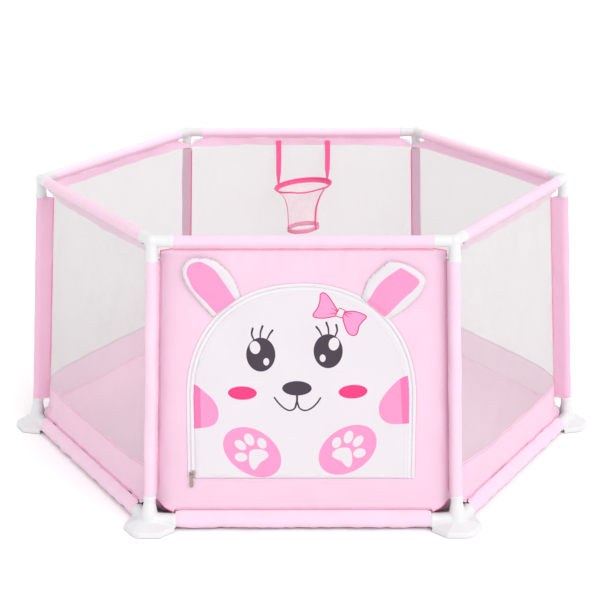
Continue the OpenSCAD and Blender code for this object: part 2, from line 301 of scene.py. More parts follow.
class Cloth:
    """Collects patches of cloth, each with its points, faces, cloth coordinates in metres and material."""

    def __init__(self):
        self.points, self.faces, self.uv, self.index, self.count = [], [], [], [], 0

    def add(self, points, faces, uv, index=0):
        points = np.asarray(points, float).reshape(-1, 3)
        self.points.append(points)
        self.uv.append(np.asarray(uv, float).reshape(-1, 2) * MM)
        faces = [[v + self.count for v in f] for f in faces]
        self.faces += faces
        self.index += list(index) if hasattr(index, "__len__") else [index] * len(faces)
        self.count += len(points)
        return self

    def area(self):
        points = np.vstack(self.points)
        total = 0.0
        for f in self.faces:
            for k in range(1, len(f) - 1):
                a, b, c = points[f[0]], points[f[k]], points[f[k + 1]]
                total += np.linalg.norm(np.cross(b - a, c - a)) / 2
        return total

    def build(self, name, materials, thick=0.0, back=None):
        mesh = bpy.data.meshes.new(name)
        mesh.from_pydata(np.vstack(self.points).tolist(), [], self.faces)
        layer = mesh.uv_layers.new(name="Cloth")
        at = np.zeros(len(mesh.loops), np.int32)
        mesh.loops.foreach_get("vertex_index", at)
        layer.data.foreach_set("uv", np.vstack(self.uv)[at].astype(np.float32).ravel())
        for m in materials:
            mesh.materials.append(m)
        mesh.polygons.foreach_set("material_index", np.array(self.index, np.int32))
        mesh.polygons.foreach_set("use_smooth", np.ones(len(mesh.polygons), bool))
        mesh.update()
        obj = plain_object(name, mesh)
        if thick:
            m = obj.modifiers.new("Thickness", "SOLIDIFY")
            m.thickness = thick * MM
            m.offset = 0.0
            m.use_rim = True
            if back is not None:
                for _ in materials:
                    mesh.materials.append(back)
                m.material_offset = len(materials)
                m.material_offset_rim = len(materials)
        return obj


def grid_faces(rows, columns, close_columns=False, close_rows=False):
    """Quads of a grid of rows by columns points, stored row by row."""
    faces = []
    for r in range(rows if close_rows else rows - 1):
        for c in range(columns if close_columns else columns - 1):
            a, b = (r % rows) * columns, ((r + 1) % rows) * columns
            d = (c + 1) % columns
            faces.append([a + c, a + d, b + d, b + c])
    return faces


def leftwards(loop):
    """The loop in the direction that keeps its inside on the left."""
    loop = np.array(loop, float)
    area = np.sum(loop[:, 0] * np.roll(loop[:, 1], -1) - np.roll(loop[:, 0], -1) * loop[:, 1])
    return loop if area > 0 else loop[::-1]


def cut_cloth(outline, holes=(), prints=(), spacing=10.0):
    """Fills an outline less its holes. Returns points, triangles and the print on each, 0 for none."""
    points, loops = [], []
    for loop in [leftwards(loop) for loop in (outline, *holes, *prints)]:
        loops.append(list(range(len(points), len(points) + len(loop))))
        points += [tuple(p) for p in loop]
    low, high = np.min(outline, 0), np.max(outline, 0)
    lines = [np.array(loop, float) for loop in [outline, *holes]]
    rows = np.arange(low[1] + spacing / 2, high[1], spacing * 0.866)
    lattice = [np.zeros((0, 2))]
    for k, y in enumerate(rows):
        xs = np.arange(low[0] + spacing * (0.5 + 0.5 * (k % 2)), high[0], spacing)
        lattice.append(np.stack([xs, np.full_like(xs, y)], -1))
    lattice = np.vstack(lattice)
    near = np.min([far_from(lattice, line) for line in lines], axis=0)
    points += [tuple(p) for p in lattice[near > spacing * 0.35]]
    found = delaunay_2d_cdt([Vector(p) for p in points], [], loops, 0, 1e-3, True)
    verts, _, faces, _, _, owners = found
    kept, index = [], []
    for f, owner in zip(faces, owners):
        if 0 in owner and not any(1 <= o <= len(holes) for o in owner):
            kept.append(list(f))
            top = max(owner)
            index.append(max(0, top - len(holes)))
    verts = np.array([tuple(v) for v in verts], float)
    used, again = np.unique(np.concatenate(kept), return_inverse=True)
    return verts[used], again.reshape(-1, 3).tolist(), index


def facing(points, faces, normal):
    """The faces, turned so that most look along the normal."""
    total = np.zeros(3)
    for f in faces[:200]:
        total += np.cross(points[f[1]] - points[f[0]], points[f[2]] - points[f[0]])
    return faces if total @ np.asarray(normal) > 0 else [f[::-1] for f in faces]


def plain_object(name, mesh, materials=()):
    for m in materials:
        mesh.materials.append(m)
    obj = bpy.data.objects.new(name, mesh)
    bpy.context.scene.collection.objects.link(obj)
    return obj


def applied(obj):
    """The object's mesh with its modifiers applied."""
    mesh = bpy.data.meshes.new_from_object(obj.evaluated_get(bpy.context.evaluated_depsgraph_get()))
    old = obj.data
    obj.modifiers.clear()
    obj.data = mesh
    bpy.data.meshes.remove(old)
    return obj


# ---------------------------------------------------------------- materials


def srgb(r, g, b):
    """A colour given as it looks on screen, 0 to 255, as linear light."""
    out = []
    for c in (r, g, b):
        c /= 255
        out.append(c / 12.92 if c <= 0.04045 else ((c + 0.055) / 1.055) ** 2.4)
    return (*out, 1.0)


def node(tree, kind, **inputs):
    made = tree.nodes.new(kind)
    for key, value in inputs.items():
        key = key.replace("_", " ")
        if isinstance(value, bpy.types.NodeSocket):
            tree.links.new(value, made.inputs[key])
        else:
            made.inputs[key].default_value = value
    return made


def maths(tree, operation, a, b=0.5):
    made = tree.nodes.new("ShaderNodeMath")
    made.operation = operation
    for k, value in enumerate((a, b)):
        if isinstance(value, bpy.types.NodeSocket):
            tree.links.new(value, made.inputs[k])
        else:
            made.inputs[k].default_value = value
    return made.outputs[0]


def mixed(tree, share, a, b):
    made = tree.nodes.new("ShaderNodeMix")
    made.data_type = "RGBA"
    for socket, value in ((made.inputs[0], share), (made.inputs[6], a), (made.inputs[7], b)):
        if isinstance(value, bpy.types.NodeSocket):
            tree.links.new(value, socket)
        else:
            socket.default_value = value
    return made.outputs[2]


def new_material(name):
    material = bpy.data.materials.new(name)
    material.use_nodes = True
    tree = material.node_tree
    shader = tree.nodes["Principled BSDF"]
    return material, tree, shader


def shade(colour, by):
    return (*(min(1.0, c * by) for c in colour[:3]), 1.0)


def tinted(tree, shader, share, colour, low, high):
    """A base colour that wanders between two shades of one colour."""
    tree.links.new(mixed(tree, share, shade(colour, low), shade(colour, high)), shader.inputs["Base Color"])


def glossed(tree, shader, share, low, high):
    """Roughness that wanders between two values."""
    gloss = node(tree, "ShaderNodeMapRange", Value=share, To_Min=low, To_Max=high)
    tree.links.new(gloss.outputs["Result"], shader.inputs["Roughness"])


def bumped(tree, shader, height, strength, distance):
    """Relief of a strength, with its depth in millimetres."""
    lift = node(tree, "ShaderNodeBump", Strength=strength, Distance=distance * MM, Height=height)
    tree.links.new(lift.outputs[0], shader.inputs["Normal"])


def fabric(name, colour, thread=0.9, variation=0.05, bump=0.35, rough=0.78, sheen=0.2, patches=70.0,
           coordinates="cloth", through=None, share=0.15):
    """Plain-woven cloth: crossing threads in the bump, and slow and fine changes of colour.

    through is the colour of the light that shows through a single thin layer, and share how much of it.
    """
    material, tree, shader = new_material(name)
    if coordinates == "cloth":
        where = tree.nodes.new("ShaderNodeUVMap")
        where.uv_map = "Cloth"
        where = where.outputs[0]
    else:
        where = tree.nodes.new("ShaderNodeTexCoord").outputs["Object"]
    cells = node(tree, "ShaderNodeTexChecker", Vector=where, Scale=1 / (thread * MM))
    bands = []
    for direction in ("X", "Y"):
        wave = node(tree, "ShaderNodeTexWave", Vector=where, Scale=math.pi / 10 / (thread * MM))
        wave.bands_direction = direction
        bands.append(wave.outputs["Fac"])
    threads = mixed(tree, cells.outputs["Fac"], bands[0], bands[1])
    slow = node(tree, "ShaderNodeTexNoise", Vector=where, Scale=1 / (patches * MM), Detail=3.0, Roughness=0.6)
    fine = node(tree, "ShaderNodeTexNoise", Vector=where, Scale=1 / (1.6 * MM), Detail=2.0, Roughness=0.7)
    tone = mixed(tree, slow.outputs["Fac"], shade(colour, 1 - variation), shade(colour, 1 + variation))
    tone = mixed(tree, maths(tree, "MULTIPLY", fine.outputs["Fac"], 0.16), tone, shade(colour, 0.8))
    tree.links.new(tone, shader.inputs["Base Color"])
    glossed(tree, shader, fine.outputs["Fac"], rough - 0.06, rough + 0.08)
    bumped(tree, shader, threads, bump, 0.25)
    shader.inputs["Sheen Weight"].default_value = sheen
    shader.inputs["Sheen Roughness"].default_value = 0.4
    shader.inputs["Specular IOR Level"].default_value = 0.3
    if through is not None:
        behind = node(tree, "ShaderNodeBsdfTranslucent", Color=through)
        both = tree.nodes.new("ShaderNodeMixShader")
        both.inputs[0].default_value = share
        tree.links.new(shader.outputs[0], both.inputs[1])
        tree.links.new(behind.outputs[0], both.inputs[2])
        tree.links.new(both.outputs[0], tree.nodes["Material Output"].inputs["Surface"])
    return material


def netting(name, colour, cell, cover_low, cover_high, rough=0.7):
    """Knitted mesh: threads round small six-sided holes, as alpha."""
    material, tree, shader = new_material(name)
    where = tree.nodes.new("ShaderNodeUVMap")
    where.uv_map = "Cloth"
    holes = tree.nodes.new("ShaderNodeTexVoronoi")
    holes.voronoi_dimensions = "2D"
    holes.feature = "DISTANCE_TO_EDGE"
    tree.links.new(where.outputs[0], holes.inputs["Vector"])
    holes.inputs["Scale"].default_value = 1 / (cell * MM)
    holes.inputs["Randomness"].default_value = 0.25
    thread = node(tree, "ShaderNodeMapRange", Value=holes.outputs["Distance"], From_Min=0.05, From_Max=0.3,
                  To_Min=cover_high, To_Max=cover_low)
    slow = node(tree, "ShaderNodeTexNoise", Vector=where.outputs[0], Scale=1 / (90 * MM), Detail=2.0)
    tinted(tree, shader, slow.outputs["Fac"], colour, 0.95, 1.05)
    tree.links.new(thread.outputs["Result"], shader.inputs["Alpha"])
    shader.inputs["Roughness"].default_value = rough
    shader.inputs["Specular IOR Level"].default_value = 0.2
    return material


def plastic(name, colour, rough=0.32, grain=0.6, bump=0.05):
    """Moulded plastic: a fine orange-peel surface with slightly uneven gloss."""
    material, tree, shader = new_material(name)
    where = tree.nodes.new("ShaderNodeTexCoord").outputs["Object"]
    fine = node(tree, "ShaderNodeTexNoise", Vector=where, Scale=1 / (grain * MM), Detail=2.0)
    slow = node(tree, "ShaderNodeTexNoise", Vector=where, Scale=1 / (35 * MM), Detail=3.0)
    tinted(tree, shader, slow.outputs["Fac"], colour, 0.97, 1.02)
    glossed(tree, shader, slow.outputs["Fac"], rough - 0.05, rough + 0.1)
    bumped(tree, shader, fine.outputs["Fac"], bump, 0.2)
    return material


def metal(name, colour, rough=0.38):
    """Dull cast metal with fine scratches."""
    material, tree, shader = new_material(name)
    where = tree.nodes.new("ShaderNodeTexCoord").outputs["Object"]
    fine = node(tree, "ShaderNodeTexNoise", Vector=where, Scale=1 / (0.5 * MM), Detail=4.0)
    tinted(tree, shader, fine.outputs["Fac"], colour, 0.75, 1.2)
    glossed(tree, shader, fine.outputs["Fac"], rough - 0.1, rough + 0.15)
    bumped(tree, shader, fine.outputs["Fac"], 0.2, 0.1)
    shader.inputs["Metallic"].default_value = 0.9
    return material


PINK = srgb(234, 201, 219)
HOT_PINK = srgb(243, 92, 148)
PRINT_PINK = srgb(246, 146, 190)
PRINT_HOT = srgb(240, 58, 122)
PRINT_DARK = srgb(68, 58, 70)
WHITE_CLOTH = srgb(218, 213, 218)

panel_cloth = fabric("Panel_cloth", PINK, through=srgb(255, 214, 234))
# Painted light: a paler copy of the sleeve cloth that brightens the far walls' top sleeves, which face the
# pen's shaded inside.
lit_far_sleeve = fabric("Sleeve_cloth_painted_light", srgb(250, 219, 235))
sleeve_cloth = fabric("Sleeve_cloth", srgb(236, 203, 221))
# A paler copy of the panel cloth, with painted light, for the hanging inner flaps and the pockets of walls 2
# to 5; the light it lets through is real translucency.
light_painted_cloth = fabric("Translucent_cloth_painted_light", srgb(252, 213, 233), through=srgb(255, 222, 240), share=0.42)
seam_pink = fabric("Seam_pink", srgb(240, 108, 160), variation=0.05, coordinates="object")
soft_seam = fabric("Soft_seam_pink", srgb(240, 160, 196), variation=0.05, coordinates="object")
seam_thread = fabric("Seam_thread", srgb(228, 150, 186), thread=0.5, coordinates="object")
white_cloth = fabric("Flap_white", WHITE_CLOTH, variation=0.02)
flap_back = fabric("Flap_back", srgb(220, 216, 220), variation=0.03)
print_pink = fabric("Print_pink", PRINT_PINK, variation=0.03)
print_deep = fabric("Print_deep_pink", srgb(238, 116, 170), variation=0.04)
print_hot = fabric("Print_hot_pink", PRINT_HOT, variation=0.03)
print_dark = fabric("Print_dark", PRINT_DARK, variation=0.05)
print_bow = fabric("Print_bow", srgb(246, 150, 194), variation=0.04)
print_edge = fabric("Print_bow_edge", srgb(205, 50, 112), variation=0.03)
# Painted shade: the faint darker line at the fold of the flap's hem.
hem_shade_line = fabric("Painted_hem_shade_line", srgb(218, 207, 213), variation=0.02)
tape_cloth = fabric("Zip_tape_cloth", srgb(226, 223, 228), thread=0.6, variation=0.02, bump=0.5)
floor_cloth = fabric("Floor_cloth", srgb(240, 190, 216), variation=0.06, patches=160.0)
hoop_cloth = fabric("Hoop_cloth", HOT_PINK, thread=0.8, variation=0.08, patches=20.0)
hem_cloth = fabric("Hoop_hem_cloth", srgb(240, 150, 184), thread=0.8, variation=0.1, patches=15.0)
window_net = netting("Window_net", srgb(214, 211, 212), 2.4, 0.30, 0.62)
# Painted shade: a darker copy of the window net, for the far walls whose nets lie in shade.
shaded_net = netting("Window_net_shaded", srgb(180, 176, 177), 2.4, 0.30, 0.62)
hoop_netting = netting("Hoop_netting", srgb(250, 222, 231), 3.0, 0.05, 0.30)
white_plastic = plastic("White_plastic", srgb(217, 217, 218))
coil_plastic = plastic("Zip_coil_plastic", srgb(222, 219, 224), rough=0.5)
tube_paint = plastic("White_tube_paint", srgb(238, 238, 238), rough=0.25)
pad_rubber = plastic("Pad_rubber", srgb(205, 205, 206), rough=0.7, bump=0.2)
slider_metal = metal("Slider_metal", srgb(166, 151, 144))


# ---------------------------------------------------------------- connectors


def cone(bm, length, r1, r2, matrix, start=0.0, segments=48):
    """A cylinder or cone along the matrix's Z, from start to start plus length."""
    place = matrix @ Matrix.Translation((0, 0, start + length / 2))
    bmesh.ops.create_cone(bm, cap_ends=True, segments=segments, radius1=r1, radius2=r2, depth=length,
                          matrix=place)


def arm(bm, radius, length, matrix):
    """A socket arm: a plain barrel with a slightly raised collar at its mouth."""
    cone(bm, length - 9, radius, radius, matrix)
    cone(bm, 1.5, radius, radius + 0.7, matrix, length - 9.5)
    cone(bm, 6.5, radius + 0.7, radius + 0.7, matrix, length - 8)
    cone(bm, 1.5, radius + 0.7, radius - 0.6, matrix, length - 1.5)


def direction(azimuth, tilt):
    """A matrix whose Z points at azimuth round the upright and tilt down from it, in degrees."""
    return Matrix.Rotation(math.radians(azimuth), 4, "Z") @ Matrix.Rotation(math.radians(tilt), 4, "Y")


def moulded(name, bm, voxel, rounds):
    """One smooth moulding from overlapping solids in millimetres, in metres."""
    mesh = bpy.data.meshes.new(name)
    bm.to_mesh(mesh)
    bm.free()
    obj = plain_object(name, mesh)
    remesh = obj.modifiers.new("Remesh", "REMESH")
    remesh.mode = "VOXEL"
    remesh.voxel_size = voxel
    relax = obj.modifiers.new("Relax", "SMOOTH")
    relax.factor = 0.5
    relax.iterations = rounds
    applied(obj)
    obj.data.transform(Matrix.Scale(MM, 4))
    mesh = obj.data
    bpy.data.objects.remove(obj)
    mesh.polygons.foreach_set("use_smooth", np.ones(len(mesh.polygons), bool))
    mesh.name = name
    return mesh


POST_LEAN = math.degrees(math.atan2(2 * (HALF_LOW - HALF_HIGH), TOP_Z - RAIL_Z))


def top_connector_mesh():
    bm = bmesh.new()
    bmesh.ops.create_uvsphere(bm, u_segments=48, v_segments=32, radius=13.2)
    for azimuth in (120, -120):
        arm(bm, 12, 43, direction(azimuth, 90))
    arm(bm, 12, 43, direction(0, 180 - POST_LEAN))
    return moulded("Top_connector", bm, 1.1, 5)


def base_connector_mesh():
    bm = bmesh.new()
    bmesh.ops.create_uvsphere(bm, u_segments=48, v_segments=32, radius=16.4)
    for azimuth in (120, -120):
        arm(bm, 15.6, 56, direction(azimuth, 90))
        cone(bm, 42, 18.0, 15, direction(azimuth, 90))
    arm(bm, 12.5, 56, direction(0, -POST_LEAN))
    cone(bm, 40, 20, 12.5, direction(0, -POST_LEAN))
    # The foot: a six-sided pad that slopes up into the hub.
    plan = [(51, -8), (51, 8), (30, 45), (-13, 56), (-13, -56), (30, -45)]
    low = -RAIL_Z + 0.9
    corners = [(x, y, low) for x, y in plan] + [(x * 0.97, y * 0.97, low + 11) for x, y in plan]
    ring = [(12.5 * math.cos(a), 12.5 * math.sin(a), low + 25) for a in np.linspace(0, 2 * math.pi, 24)[:-1]]
    verts = [bm.verts.new(p) for p in corners + ring]
    bmesh.ops.convex_hull(bm, input=verts)
    return moulded("Base_connector", bm, 1.2, 14)


def connectors():
    for kind, mesh, radius, height in (
            ("top_connector", top_connector_mesh(), 2 * HALF_HIGH, TOP_Z),
            ("base_connector", base_connector_mesh(), 2 * HALF_LOW, RAIL_Z)):
        mesh.materials.append(white_plastic)
        for k in range(1, 7):
            obj = plain_object(f"moulded_{kind}_{k}", mesh)
            obj.matrix_world = (Matrix.Rotation(math.radians(60 * k - 120), 4, "Z")
                                @ Matrix.Translation((radius * MM, 0, height * MM)))
            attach(obj, "frame")
            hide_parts(f"{kind}_{k}")


# ---------------------------------------------------------------- sleeves


def teardrop(radius, drop, steps=28):
    """A loop of cloth round a tube, closed at a seam drop below its axis: offsets outwards and up."""
    open_angle = math.pi - math.acos(radius / drop)
    a = np.linspace(-open_angle, open_angle, steps)
    loop = np.stack([radius * np.sin(a), radius * np.cos(a)], -1)
    ends = np.linspace(0, 1, 6)[1:]
    right = loop[-1] + (np.array([0.35, -drop]) - loop[-1]) * ends[:, None]
    left = (loop[0] + (np.array([-0.35, -drop]) - loop[0]) * ends[:, None])[::-1]
    return np.vstack([left, loop, right])


def rail_sleeve(cloth, i, half, loop, height, side, seed, wrinkle, index=0, taper=0.0):
    """A sleeve along a rail of panel i. side is 1 where its seam hangs below the rail and -1 above it."""
    xs = np.linspace(-half, half, int(half / 4))
    around = lengths(loop)
    away = outwards(loop, False)
    x, s = np.meshgrid(xs, around, indexing="ij")
    fold = ripple(seed, np.stack([x, s], -1), 34, (1, 2.2)) * wrinkle
    gather = puckers(seed + 1, x, 17) * wrinkle * 0.9
    near_seam = np.exp(-np.minimum(s, around[-1] - s) / 9)
    lift = fold * (1 - near_seam) + gather * near_seam * (1 - 0.8 * (np.minimum(s, around[-1] - s) < 0.1))
    mouth = np.exp(-((half - np.abs(x)) / 5) ** 2)
    lift = lift * (1 - mouth)
    narrow = 1 - taper * mouth
    n = (loop[None, :, 0] + away[None, :, 0] * lift) * narrow
    v = height + side * (loop[None, :, 1] + away[None, :, 1] * lift) * narrow
    cloth.add(on_panel(i, x, v, n), grid_faces(len(xs), len(around)), np.stack([x, s], -1), index)


def post_pocket(cloth, k, seed, index=0):
    """The pocket round post k, drawn in to a seam towards the pen's middle."""
    loop = teardrop(SLEEVE_R, POCKET)
    around = lengths(loop)
    heights = np.linspace(POST_SLEEVE_LOW, POST_SLEEVE_HIGH, 130)
    h, s = np.meshgrid(heights, around, indexing="ij")
    from_seam = np.minimum(s, around[-1] - s)
    away = outwards(loop, False)
    ends = np.minimum(h - POST_SLEEVE_LOW, POST_SLEEVE_HIGH - h)
    gather = puckers(seed + 1, h, 24) * 0.7 * np.exp(-from_seam / 9)
    lift = ripple(seed, np.stack([s, h], -1), 46, (1, 2.2)) * 0.5 + gather
    lift = lift * (1 - np.exp(-from_seam / 3)) * (1 - np.exp(-ends / 4))
    aside = loop[None, :, 0] + away[None, :, 0] * lift
    out = loop[None, :, 1] + away[None, :, 1] * lift
    points = on_post(k, np.arctan2(aside, out), np.hypot(aside, out), h)
    cloth.add(points, grid_faces(len(heights), len(around)), np.stack([s, h], -1), index)
    seam_heights = np.arange(POST_SLEEVE_LOW, POST_SLEEVE_HIGH + 2, 6.0)
    seam = on_post(k, math.pi, POCKET + 0.6, seam_heights) / MM
    piping(cloth, seam, 1.5, 2)


def piping(cloth, line, radius, index):
    """A thin round cord of cloth along points in millimetres."""
    line = np.asarray(line, float)
    ahead = np.gradient(line, axis=0)
    ahead /= np.linalg.norm(ahead, axis=1)[:, None]
    side = np.cross(ahead, (0.31, 0.52, 0.79))
    side /= np.linalg.norm(side, axis=1)[:, None]
    other = np.cross(side, ahead)
    a = np.linspace(0, 2 * math.pi, 6, endpoint=False)[None, :, None]
    ring = line[:, None] + radius * (np.cos(a) * side[:, None] + np.sin(a) * other[:, None])
    along = lengths(line)
    s, w = np.meshgrid(along, np.arange(6.0), indexing="ij")
    cloth.add(ring * MM, grid_faces(len(line), 6, close_columns=True), np.stack([s, w], -1), index)


def seam_cord(cloth, i, ends, radius, height, index, step=8.0):
    """Piping along a straight seam of panel i, between two points of its cloth."""
    line = dense(np.array(ends, float), step, closed=False)
    piping(cloth, on_cloth(i, line, height) / MM, radius, index)


# ---------------------------------------------------------------- walls

WINDOW_LOW = 104.0
FLAP_LOW = PANEL_LEN - 34.0


def both_sides(right):
    """An outline from its right half, listed from the bottom up."""
    return np.array(right + [(-x, v) for x, v in right][::-1], float)


def top_corner():
    """The cloth's edge from a pocket's top to the top sleeve, round the corner connector."""
    top = PANEL_LEN - SEAM_DROP
    return [(seam_x(CLOTH_CORNER_HIGH), CLOTH_CORNER_HIGH), (seam_x(top - 16) - 0.6, top - 16),
            (post_x(top - 4) - 17, top - 4), (TOP_SLEEVE_HALF + 4, top), (TOP_SLEEVE_HALF, top)]


def low_corner():
    return [(LOW_SLEEVE_HALF, LOW_SEAM), (LOW_SLEEVE_HALF + 4, 18.5),
            (seam_x(CLOTH_CORNER_LOW), CLOTH_CORNER_LOW)]


def band_outline():
    """The cloth between the bottom seam and the net."""
    return both_sides(low_corner() + [(seam_x(WINDOW_LOW), WINDOW_LOW)])


def net_outline():
    return both_sides([(seam_x(WINDOW_LOW - 3), WINDOW_LOW - 3)] + top_corner())


def wall_height(i, x, v):
    """How far the cloth of wall i stands out of its plane."""
    p = np.stack([x, v], -1)
    aside = np.maximum(seam_x(v) - np.abs(x), 0)
    fade = 1 - np.exp(-aside / 12)
    low = np.exp(-np.maximum(v - LOW_SEAM, 0) / 25)
    high = np.exp(-np.maximum(PANEL_LEN - SEAM_DROP - v, 0) / 10)
    folds = (ripple(40 + i, p, 90, (1, 1.6)) * 0.9 + puckers(50 + i, x, 26) * 0.8 * low) * fade
    return sink(x, v, 52) + folds + puckers(60 + i, x, 22) * 0.5 * high * fade


def inner_flap(cloth, i, index):
    """The top sleeve's loose edge, which hangs down inside the net."""
    columns = np.linspace(-1, 1, 110)
    low = FLAP_LOW + puckers(35 + i, columns * 280, 110) * 0.7
    top = PANEL_LEN - SEAM_DROP
    share = np.linspace(0, 1, 7)
    t, c = np.meshgrid(share, columns, indexing="ij")
    v = top + (low[None, :] - top) * t
    half = TOP_SLEEVE_HALF + (seam_x(FLAP_LOW) - TOP_SLEEVE_HALF) * smooth(t * 1.5)
    x = c * half
    n = wall_height(i, x, v) - 0.8 - 1.4 * smooth(t * 3) + puckers(36 + i, x, 70) * 0.6 * t
    cloth.add(on_panel(i, x, v, n), grid_faces(7, len(columns)), np.stack([x, v], -1), index)


# Slots 4 and 5 are paler copies of the cloth, with painted light for shaded parts.
WALL_KINDS = [panel_cloth, sleeve_cloth, seam_pink, soft_seam, light_painted_cloth, lit_far_sleeve]


def walls():
    points, faces, _ = cut_cloth(dense(band_outline(), 9.0), spacing=9.0)
    net_points, net_faces, _ = cut_cloth(dense(net_outline(), 9.0), spacing=12.0)
    top_loop = teardrop(SLEEVE_R, SEAM_DROP)
    low_loop = teardrop(LOW_SLEEVE_R, LOW_SEAM) * (1, 0.9)
    for i in MESH_PANELS:
        cloth = Cloth()
        normal = panel_axes(i)[3]

        def height(x, v, i=i):
            return wall_height(i, x, v)

        place = on_cloth(i, points, height)
        cloth.add(place, facing(place, faces, normal), points)
        # The inner flap takes the paler cloth, which paints light on it.
        inner_flap(cloth, i, 4)
        # The far walls' top sleeves take the paler copy, which paints light on them.
        sleeve_kind = 5 if i in FAR_PANELS else 1
        rail_sleeve(cloth, i, TOP_SLEEVE_HALF, top_loop, PANEL_LEN, 1, 70 + i, 0.45, sleeve_kind)
        rail_sleeve(cloth, i, LOW_SLEEVE_HALF, low_loop, 0.0, -1, 80 + i, 1.0, 1, 0.1)
        # The pockets of walls 2 to 5 take the paler cloth with painted light; wall 6's pocket keeps the
        # sleeve cloth.
        post_pocket(cloth, i, 90 + i, 1 if i == 6 else 4)
        area = cloth.area()
        seam = LOW_SEAM - 0.5
        seam_cord(cloth, i, [(-LOW_SLEEVE_HALF, seam), (LOW_SLEEVE_HALF, seam)], 1.6, height, 3)
        wall = cloth.build(f"wall_{i}_cloth", WALL_KINDS)
        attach(wall, "frame")
        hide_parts(f"wall_cover_{i}")
        place = on_cloth(i, net_points, height, -0.4)
        net = Cloth().add(place, facing(place, net_faces, normal), net_points)
        area = net.area()
        # The far walls take the darker copy of the net, with painted shade.
        net = net.build(f"wall_{i}_net", [shaded_net if i in FAR_PANELS else window_net])
        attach(net, "frame")
        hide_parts(f"mesh_window_{i}")


# ---------------------------------------------------------------- front cover and zip


def front_height(x, v):
    """How far the front wall's cloth stands out of its plane."""
    x, v = np.asarray(x, float), np.asarray(v, float)
    p = np.stack([x, v], -1)
    side = np.maximum(seam_x(v) - np.abs(x), 0)
    top, low = np.maximum(PANEL_LEN - SEAM_DROP - v, 0), np.maximum(v - LOW_SEAM, 0)
    inside = (1 - np.exp(-side / 22)) * (1 - np.exp(-top / 14)) * (1 - np.exp(-low / 14))
    gathers = puckers(3, x, 30) * 1.4 * np.exp(-top / 26) + puckers(4, x, 34) * 1.1 * np.exp(-low / 22)
    sides = puckers(5, v, 74) * 2.4 * np.exp(-side / 20)
    fade = (1 - np.exp(-side / 8)) * (1 - np.exp(-top / 5)) * (1 - np.exp(-low / 5))
    return sink(x, v, 27) + inside * (2.4 + ripple(1, p, 110, (1, 1.9)) * 0.9) + (gathers + sides) * fade


def front_cover():
    outline = dense(both_sides(low_corner() + top_corner()), 8.0)
    door = arch(11, foot=DOOR_FOOT - 1.5)
    points, faces, _ = cut_cloth(outline, [door], spacing=8.0)
    cloth = Cloth()
    normal = panel_axes(1)[3]
    place = on_cloth(1, points, front_height)
    cloth.add(place, facing(place, faces, normal), points)
    rail_sleeve(cloth, 1, TOP_SLEEVE_HALF, teardrop(SLEEVE_R, SEAM_DROP), PANEL_LEN, 1, 71, 0.4, 1)
    low_loop = teardrop(LOW_SLEEVE_R, LOW_SEAM) * (1, 0.9)
    rail_sleeve(cloth, 1, LOW_SLEEVE_HALF, low_loop, 0.0, -1, 81, 0.7, 1, 0.1)
    post_pocket(cloth, 1, 91, 1)
    top = PANEL_LEN - SEAM_DROP
    seam_cord(cloth, 1, [(-TOP_SLEEVE_HALF, top), (TOP_SLEEVE_HALF, top)], 1.3, front_height, 2)
    seam_cord(cloth, 1, [(-LOW_SLEEVE_HALF, LOW_SEAM - 1.5), (LOW_SLEEVE_HALF, LOW_SEAM - 1.5)], 0.9,
              front_height, 3)
    for side in (-1, 1):
        for corner, radius in ((low_corner(), 1.0), (top_corner(), 1.1)):
            seam_cord(cloth, 1, [(side * x, v) for x, v in corner], radius, front_height, 2)
    cover = cloth.build("front_wall_cloth", WALL_KINDS[:4])
    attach(cover, "frame")
    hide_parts("front_cover")


# Points along a strip that follows the arch.
ARCH_STEPS = 260
# The zip's teeth, in millimetres.
TOOTH_PITCH = 2.0
TOOTH_FOOT = 0.3
TOOTH_TOP = 0.9


def along_arch(offset_low, offset_high, columns, rise, stop=0.0, foot=DOOR_FOOT):
    """A strip that follows the arch: rows of points between two offsets, with its cloth coordinates.

    It ends a distance stop before the arch's left foot.
    """
    rows = []
    uv = []
    for share in np.linspace(0, 1, columns):
        line = arch(offset_low + (offset_high - offset_low) * share, foot)
        along = lengths(line)
        line = picked(line, along, np.linspace(0, along[-1] - stop, ARCH_STEPS))
        rows.append(on_cloth(1, line, front_height, rise(share)))
        across = np.full(ARCH_STEPS, share * (offset_high - offset_low))
        uv.append(np.stack([np.linspace(0, along[-1], ARCH_STEPS), across], -1))
    return np.stack(rows), np.stack(uv)


def zip_half(name, low, high, teeth_low, teeth_high, shift, stop=0.0):
    """One side of the zip: a woven tape, and a row of teeth along its edge."""
    cloth = Cloth()
    points, uv = along_arch(low, high, 6, lambda s: 0.3 + 0.2 * math.sin(math.pi * s), stop)
    faces = facing(points.reshape(-1, 3), grid_faces(*points.shape[:2]), panel_axes(1)[3])
    cloth.add(points, faces, uv)
    line = dense(arch(ZIP_MID), 4.0, closed=False)
    along = lengths(line)
    at = np.arange(TOOTH_PITCH * (1 + shift), along[-1] - TOOTH_PITCH - stop, TOOTH_PITCH)
    centre = picked(line, along, at)
    side = -outwards(centre, False)
    ahead = np.stack([-side[:, 1], side[:, 0]], -1)
    height = front_height(centre[:, 0], centre[:, 1])
    corners, faces = [], []
    for half, lift in ((0.55, TOOTH_FOOT), (0.35, TOOTH_TOP)):
        for a, b in ((-half, teeth_low), (half, teeth_low), (half, teeth_high), (-half, teeth_high)):
            flat = centre + ahead * a + side * b
            corners.append(on_panel(1, flat[:, 0], flat[:, 1], height + lift))
    corners = np.stack(corners, 1)
    box = [(4, 5, 6, 7), (0, 1, 5, 4), (1, 2, 6, 5), (2, 3, 7, 6), (3, 0, 4, 7), (3, 2, 1, 0)]
    for k in range(len(centre)):
        faces += [[8 * k + c for c in f] for f in box]
    cloth.add(corners, faces, np.zeros((len(centre) * 8, 2)), 1)
    return cloth.build(name, [tape_cloth, coil_plastic])


